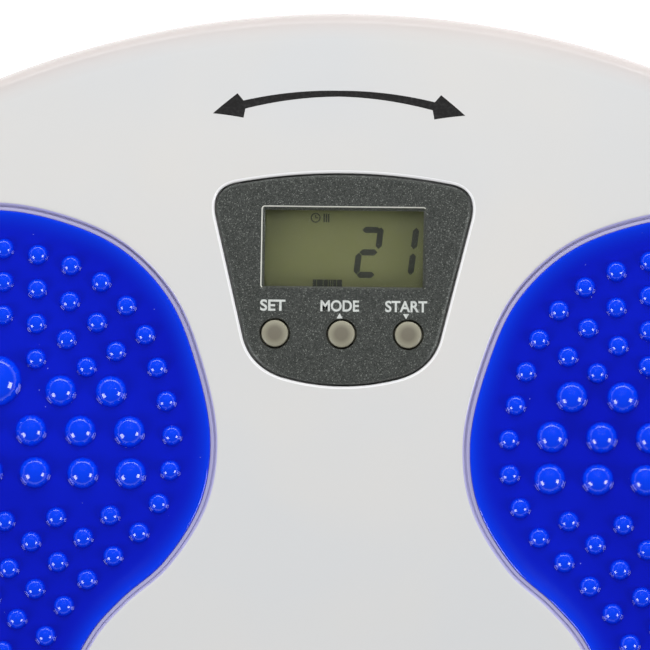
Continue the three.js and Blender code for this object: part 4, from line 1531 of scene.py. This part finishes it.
@dataclass
class CounterFront:
    """The counter's panel with its window, display segments, button caps and printed words."""

    panel: PanelOutline
    top: float = 40.2
    thickness: float = 1.8
    edge: float = 0.7
    window: tuple[float, float] = (26.4, 13.1)
    window_offset: tuple[float, float] = (0.1, 5.2)
    window_radius: float = 0.35
    chamfer: float = 0.18
    draft: float = 0.35
    button_y: float = -8.85
    button_pitch: float = 10.8
    button_hole: float = 2.45
    button_radius: float = 2.15
    button_foot: float = 35.1
    button_crown: float = 0.38
    case_screw: tuple[float, float] = (12.0, -3.9)
    boss: tuple[float, float] = (1.9, 28.6)
    display_top: float = 37.0
    digit: tuple[float, float] = (4.05, 8.35)
    digit_pitch: float = 5.75
    digit_right: float = 11.8
    digit_y: float = 4.75
    clock: tuple[float, float] = (-4.65, 10.3)
    stroke: float = 1.0
    slant: float = 6.5
    words: tuple[tuple[str, float, float], ...] = (
        ("SET", -11.2, 4.1), ("MODE", -0.35, 6.25), ("START", 10.4, 6.8),
    )  # each word, its middle and its width
    words_y: float = -5.22
    cap_height: float = 1.86

    def place(self, x: float, y: float) -> tuple[float, float]:
        """A place on the disc, from its offset to the panel's middle."""
        return (x, y + self.panel.centre_y)

    def buttons(self) -> dict[str, tuple[float, float]]:
        """Each button's name and place on the disc."""
        return {name: self.place(x, self.button_y) for name, x in
                (("set", -self.button_pitch), ("mode", 0.0), ("start", self.button_pitch))}

    def _bezel(self, lacquer: Material, wall: Material) -> Piece:
        """Builds the panel: rounded edge, chamfered window with drafted walls, rimmed button holes, bosses.

        Args:
            lacquer: the finish of the panel.
            wall: the finish of the window's far and left chamfers, a painted highlight.

        Returns:
            The panel.
        """
        shape = Shape()
        low, edge = self.top - self.thickness, self.edge
        loop = self.panel.loop()
        profile = np.vstack([
            [(-edge - 0.3, self.top)], bend((-edge, self.top - edge), edge, 90, 0, 8), [(0, low)],
        ])
        shape.carried(loop, profile)
        normal = outward(loop)
        width, height = self.window
        hole = rounded_box(width, height, self.window_radius, self.place(*self.window_offset))
        rim = np.array([(self.chamfer + 0.25, self.top), (self.chamfer, self.top),
                        (0, self.top - self.chamfer), (-self.draft, low)])
        shape.carried(hole, rim)
        holes = [(hole + rim[0, 0] * outward(hole), hole + rim[-1, 0] * outward(hole))]
        for centre in self.buttons().values():
            radius = self.button_hole
            ring = np.vstack([
                [(radius + 0.5, self.top)], bend((radius + 0.22, self.top - 0.22), 0.22, 90, 180, 4),
                [(radius, low)],
            ])
            shape.turned(ring, 64, centre)
            holes.append((circle(radius + 0.5, 64, centre), circle(radius, 64, centre)))
        bosses = []
        for side in (-1, 1):
            centre = self.place(side * self.case_screw[0], self.case_screw[1])
            radius, foot = self.boss
            shape.turned(np.array([(radius, low), (radius, foot), (0, foot)]), 32, centre)
            bosses.append(circle(radius, 32, centre))
        shape.flat([loop + profile[0, 0] * normal, *(top for top, _ in holes)], self.top)
        shape.flat([loop, *(bottom for _, bottom in holes), *bosses], low)
        piece = shape.make("counter_front", lacquer)
        self._paint_chamfer_highlight(piece, wall, self.place(*self.window_offset))
        return settle(piece, "counter", ["counter_bezel"])

    def _paint_chamfer_highlight(self, piece: Piece, wall: Material, centre: tuple[float, float]) -> None:
        """Paints the window's far and left chamfers pale, the faces turned to the near side and the right: a
        painted highlight.

        Args:
            piece: the panel.
            wall: the pale finish that paints the highlight.
            centre: the window's middle on the disc.
        """
        middles, normals = faces_of(piece)
        inside = (np.abs(middles[:, :2] - centre) < (np.array(self.window) / 2 + self.chamfer)).all(axis=1)
        # painted highlight: only the chamfers facing the near side and those facing the right are painted pale
        thin = (normals[:, 1] < -0.5) | (normals[:, 0] > 0.5)
        paint(piece, wall, inside & thin & (normals[:, 2] < 0.9) & (middles[:, 2] > self.top - self.chamfer))

    def _button(self, name: str, centre: tuple[float, float], finish: Material) -> Piece:
        """Builds a button: stem, keeper flange and a cap with a rounded edge and a low crown.

        Args:
            name: the button's name.
            centre: its middle on the disc, in mm.
            finish: its finish.

        Returns:
            The button.
        """
        flange = self.top - self.thickness - GAP
        stem, keeper, edge = 1.4, 2.8, 0.45
        profile = np.vstack([
            [(0, self.button_foot), (stem, self.button_foot), (stem, flange - 1), (keeper, flange - 1),
             (keeper, flange), (self.button_radius, flange)],
            bend((self.button_radius - edge, self.top), edge, 0, 62, 6),
            [(1.2, self.top + self.button_crown + 0.1), (0.6, self.top + self.button_crown + 0.14),
             (0, self.top + self.button_crown + 0.15)],
        ])
        shape = Shape()
        shape.turned(profile, 64, centre)
        piece = shape.make(f"{name}_cap", finish)
        return settle(piece, f"{name}_button", [f"{name}_button"])

    def _segments(self, digit: int) -> list[Array]:
        """A seven-segment digit's lit bars as outlines about the digit's lower left corner, upright.

        Args:
            digit: the digit, 1 or 2.

        Returns:
            An outline for each lit bar.
        """
        width, height = self.digit
        half, gap = self.stroke / 2, 0.06
        across = np.array([(half + gap, 0), (2 * half + gap, -half), (width - 2 * half - gap, -half),
                           (width - half - gap, 0), (width - 2 * half - gap, half), (2 * half + gap, half)])
        mid = height / 2
        upward = np.array([(0, half + gap), (half, 2 * half + gap), (half, mid - half - gap), (0, mid - gap),
                           (-half, mid - half - gap), (-half, 2 * half + gap)])
        bars = {
            "a": across + (0, height - half), "g": across + (0, mid), "d": across + (0, half),
            "f": upward + (half, mid), "b": upward + (width - half, mid),
            "e": upward + (half, 0), "c": upward + (width - half, 0),
        }
        lit = {1: "bc", 2: "abged"}[digit]
        return [bars[name] for name in lit]

    def _display(self, ink: Material) -> Piece:
        """Builds the display's lit segments: two digits, a clock, a step sign and a scale bar.

        Args:
            ink: the finish of the segments.

        Returns:
            The segments.
        """
        shape = Shape()
        outlines: list[Array] = []
        lean = math.tan(math.radians(self.slant))
        for position, digit in enumerate((1, 2)):
            left = self.digit_right - self.digit[0] - position * self.digit_pitch
            for bar in self._segments(digit):
                leaned = bar + np.column_stack([lean * (bar[:, 1] - self.digit[1] / 2), np.zeros(len(bar))])
                outlines.append(leaned + (left, self.digit_y - self.digit[1] / 2))
        clock_x, signs_y = self.clock
        outlines.append(rounded_box(0.16, 0.5, 0.05, (clock_x, signs_y + 0.2)))
        outlines.append(rounded_box(0.45, 0.16, 0.05, (clock_x + 0.18, signs_y)))
        outlines += [
            rounded_box(0.22, 1.4, 0.05, (clock_x + 1.4 + 0.36 * step, signs_y)) for step in range(3)
        ]
        widths = (0.6, 1.0, 0.75, 0.3, 0.3, 0.55, 0.85)
        starts = np.cumsum((-4.95, *(width + 0.07 for width in widths[:-1])))
        outlines += [
            rounded_box(width, 1.5, 0.04, (start + width / 2, -0.5))
            for start, width in zip(starts, widths, strict=True)
        ]
        high, low = self.display_top + 0.02, self.display_top + 0.004
        for outline in outlines:
            placed = outline + self.place(0, 0)
            shape.carried(placed, np.array([(0, low), (0, high)]))
            shape.flat([placed], high)
            shape.flat([placed], low)
        ring = np.array([(0.62, low), (0.8, low), (0.8, high), (0.62, high), (0.62, low)])
        shape.turned(ring, 32, self.place(*self.clock))
        return settle(shape.make("display_segments", ink), "counter")

    def _print(self, ink: Material) -> None:
        """Prints each button's plain function over it, and the up and down signs.

        Args:
            ink: the finish of the print.
        """
        for words, x, width in self.words:
            spot = (*self.place(x, self.words_y), self.top + 0.001)
            settle(lettering(f"word_{words.lower()}", words, self.cap_height, width, spot, ink), "counter")
        for name, x, way in (("up", -0.35, 1), ("down", 10.4, -1)):
            corners = np.array([(0.5, -0.42), (0, 0.42), (-0.5, -0.42)]) * (way, way) + self.place(x, -5.9)
            shape = Shape()
            shape.carried(corners, np.array([(0, self.top + 0.001), (0, self.top + 0.006)]))
            shape.flat([corners], self.top + 0.006)
            shape.flat([corners], self.top + 0.001)
            settle(shape.make(f"sign_{name}", ink), "counter")

    def make(self, lacquer: Material, wall: Material, caps: Material, segments: Material,
             ink: Material) -> None:
        """Builds everything that shows on the counter's face.

        Args:
            lacquer: the finish of the panel.
            wall: the finish of the window's chamfers, a painted highlight.
            caps: the finish of the buttons.
            segments: the finish of the lit segments.
            ink: the finish of the print.
        """
        self._bezel(lacquer, wall)
        for name, centre in self.buttons().items():
            self._button(name, centre, caps)
        self._display(segments)
        self._print(ink)


# ------------------------------------------------------------------ studio


@dataclass
class Studio:
    """A pale floor, soft lamps low on three sides and the camera almost straight above the counter."""

    target: tuple[float, float, float] = (-2.7, 98.6, 40.0)
    view_width: float = 105.1
    distance: float = 900.0
    tilt_right: float = 3.0
    tilt_near: float = 5.0
    roll: float = 0.93
    sensor: float = 36.0
    floor_cloud: float = 400.0
    floor_glow: float = 0.34

    def _camera(self) -> None:
        """Adds the camera: it looks down from the near side, with the disc's far edge at the top."""
        data = bpy.data.cameras.new("camera")
        data.sensor_width = self.sensor
        data.lens = self.sensor * self.distance / self.view_width
        data.clip_start, data.clip_end = 0.01, 100.0
        camera = bpy.data.objects.new("camera", data)
        right, near = math.sin(math.radians(self.tilt_right)), math.sin(math.radians(self.tilt_near))
        back = Vector((right, -near, math.sqrt(1 - right**2 - near**2)))
        lean = math.radians(self.roll)
        across = Vector((-math.sin(lean), math.cos(lean), 0)).cross(back).normalized()
        rotation = Matrix((across, back.cross(across), back)).transposed()
        place = Vector(self.target) * MM + back * self.distance * MM
        camera.matrix_world = Matrix.Translation(place) @ rotation.to_4x4()
        bpy.context.collection.objects.link(camera)
        bpy.context.scene.camera = camera

    def _lamp(self, name: str, azimuth: float, elevation: float, distance: float, size: tuple[float, float],
              watts: float, mirrored: bool = True) -> None:
        """Adds a softbox that faces the disc.

        Args:
            name: the lamp's name.
            azimuth: its compass angle in degrees, 0 being +X.
            elevation: its height in degrees.
            distance: how far it is, in metres.
            size: its width and height in metres.
            watts: its power.
            mirrored: whether gloss shows it, or it is so diffused that it only fills.
        """
        data = bpy.data.lights.new(name, "AREA")
        data.shape, data.energy = "RECTANGLE", watts
        data.size, data.size_y = size
        lamp = bpy.data.objects.new(name, data)
        lamp.visible_glossy = mirrored
        turn, lift = math.radians(azimuth), math.radians(elevation)
        away = Vector((math.cos(turn) * math.cos(lift), math.sin(turn) * math.cos(lift), math.sin(lift)))
        lamp.location = Vector((0, 0.08, 0.04)) + away * distance
        lamp.rotation_euler = away.to_track_quat("Z", "Y").to_euler()
        bpy.context.collection.objects.link(lamp)

    def _floor(self) -> None:
        """Adds a wide pale floor."""
        shape = Shape()
        shape.turned(np.array([(0, -0.4), (1500, -0.4), (60000, -0.4)]), 96)
        material, add, place = start_material("pale floor paint")
        cloud = add(NOISE, {"Vector": place, "Scale": 1 / (self.floor_cloud * MM)})
        cloud = add(RANGE, {0: cloud, 1: 0.3, 2: 0.7})
        tint = add(MIX, {0: cloud, 6: linear(0xFAFAFA), 7: linear(0xF6F6F6)}, **OF_COLOURS)
        skin = add(PRINCIPLED, {"Base Color": tint, "Roughness": 0.6, "Emission Color": (1, 1, 1, 1),
                                "Emission Strength": self.floor_glow})
        add(OUTPUT, {"Surface": skin})
        shape.make("floor", material)

    def _world(self) -> None:
        """Sets the surroundings: bright near the horizon and dim overhead."""
        world = bpy.data.worlds.new("studio")
        world.use_nodes = True
        world.node_tree.nodes.clear()
        add = partial(add_node, world.node_tree)
        height = add(AXES, {"Vector": add("ShaderNodeTexCoord", out="Generated")}, out="Z")
        height = add(RANGE, {0: height, 1: 0.04, 2: 0.3})
        sky = add(MIX, {0: height, 6: linear(0xFFFFFF), 7: linear(0x4A4C4E)}, **OF_COLOURS)
        backdrop = add("ShaderNodeBackground", {"Color": sky, "Strength": 0.9})
        add("ShaderNodeOutputWorld", {"Surface": backdrop})
        bpy.context.scene.world = world

    def make(self) -> None:
        """Sets the whole studio up."""
        bpy.context.scene.view_settings.view_transform = "Standard"
        self._camera()
        self._floor()
        self._world()
        self._lamp("softbox_near_left", -148, 30, 1.6, (0.68, 0.62), 10.2)
        self._lamp("softbox_near_right", -17, 30, 1.6, (0.62, 0.56), 9.6)
        self._lamp("strip_far", 90, 8, 1.6, (2.4, 0.2), 5)
        self._lamp("fill_far", 90, 48, 0.7, (0.7, 0.7), 4.3, mirrored=False)


# ------------------------------------------------------------------ assembly


def dress(names: Sequence[str], finish: Material) -> None:
    """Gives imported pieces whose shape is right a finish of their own.

    Args:
        names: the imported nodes.
        finish: their finish.
    """
    for name in names:
        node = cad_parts[name]
        if not node.material_slots:
            node.data.materials.append(finish)
        node.material_slots[0].material = finish
        log.info("%s keeps its shape, in %s", name, finish.name)


def main() -> None:
    """Builds and dresses the disc, piece by piece."""
    logging.basicConfig(level=logging.INFO, format="%(message)s")
    white = GlossAbs().make()
    vinyl = SoftVinyl().make()
    grey = TexturedPlastic("grey ABS, spark texture", 0x8A8C8F, 0x9A9C9E).make()
    chalk = TexturedPlastic("white ABS, spark texture", 0xD6D6D3, 0xE0E0DE).make()
    dark = TexturedPlastic("dark ABS, fine texture", 0x26272A, 0x35363A, 0.45).make()
    acetal = TexturedPlastic("natural acetal, turned", 0xE4E0D4, 0xEDEAE0, 0.35, 0.6, 0.008).make()
    rubber = TexturedPlastic("black rubber, moulded", 0x1B1B1D, 0x2A2A2B, 0.8, 0.3, 0.03).make()
    ferrite = TexturedPlastic("sintered ferrite", 0x323131, 0x484645, 0.6, 0.2, 0.02).make()
    turned = Steel("bright steel, turned", SteelWork.TURNED).make()
    plated = Steel("zinc-plated steel", SteelWork.PLATED).make()
    mirror = Steel("bearing steel, polished", SteelWork.POLISHED, 0xD2D3D4, 0xC8C9CB).make()
    black_ink = Ink("black pad-printed ink", 0x232222, 0x3A3939, 0.4).make()
    white_ink = Ink("white screen-printed ink", 0xD6DAD6, 0xB9BDB9, 0.55).make()
    lit = Ink("switched liquid crystal", 0x232420, 0x2B2C27, 0.4).make()
    # pale: a painted highlight on the window's far and left chamfers
    chamfer_highlight = TexturedPlastic("pale plastic, painted chamfer highlight", 0xE8E8DE, 0xF2F2EA, 0.3, 0.3, 0.004).make()

    pad, panel = PadOutline(), PanelOutline()
    # lavender: painted blue bounce light and shade for the pockets' lips
    bounce_painted_white = GlossAbs("white ABS, painted blue bounce light and shade", 0xC8C4E4, 0xC2C0E4).make()
    # pure white: a painted highlight along the recess's lip
    lip = GlossAbs("white ABS lip, painted highlight", 0xFFFFFF, 0xFDFDFF, roughness=0.12).make()
    cover = Cover(pad, panel)
    cover.make(white, bounce_painted_white, lip)
    for side in (1, -1):
        MassagePad(pad).make(side, vinyl)
    TwistMark().make(black_ink)
    UnderPlate().make(chalk)
    cover_screw = PanScrew(radius=1.5, head=3.2, head_height=2.1, low=20.6, high=34.0)
    for index, centre in enumerate(around(6, cover.screw_circle, 30), start=1):
        screw = cover_screw.make(f"cover_screw_{index}", centre, plated)
        settle(screw, "turntable", [f"shell_screw_{index}"])
    Base().make(grey, rubber)
    BallRace().make(turned, mirror, acetal)

    front = CounterFront(panel)
    caps = SatinButton(centres=tuple(front.buttons().values())).make()
    front.make(FlakePaint().make(), chamfer_highlight, caps, lit, white_ink)
    case_screw = PanScrew(radius=0.9, head=1.8, head_height=1.2, low=25.6, high=35.1, pitch=0.5)
    for side, name in ((-1, "left"), (1, "right")):
        centre = front.place(side * front.case_screw[0], front.case_screw[1])
        screw = case_screw.make(f"counter_screw_{name}", centre, plated)
        settle(screw, "counter", [f"case_screw_{name}"])

    dress(["pivot_bolt", "pivot_washer", "lock_nut"], plated)
    dress(["button_cell", "cell_contact_plus", "cell_contact_minus"], plated)
    dress(["set_dome", "mode_dome", "start_dome"], plated)
    dress(["pivot_bush"], acetal)
    dress(["trigger_magnet"], ferrite)
    dress(["counter_back", "battery_door"], dark)
    dress(["display_lens"], ClearSheet("clear acrylic").make())
    dress(["reed_switch"], ClearSheet("green-tinted glass", 0xB8D0BC, 1.5).make())
    dress(["lcd_panel"], DisplayCell(centre=front.place(*front.window_offset)).make())
    dress(["circuit_board"], CircuitLaminate().make())
    dress(["zebra_strip"], BandedSilicone().make())

    Studio().make()


if __name__ == "__main__":
    main()
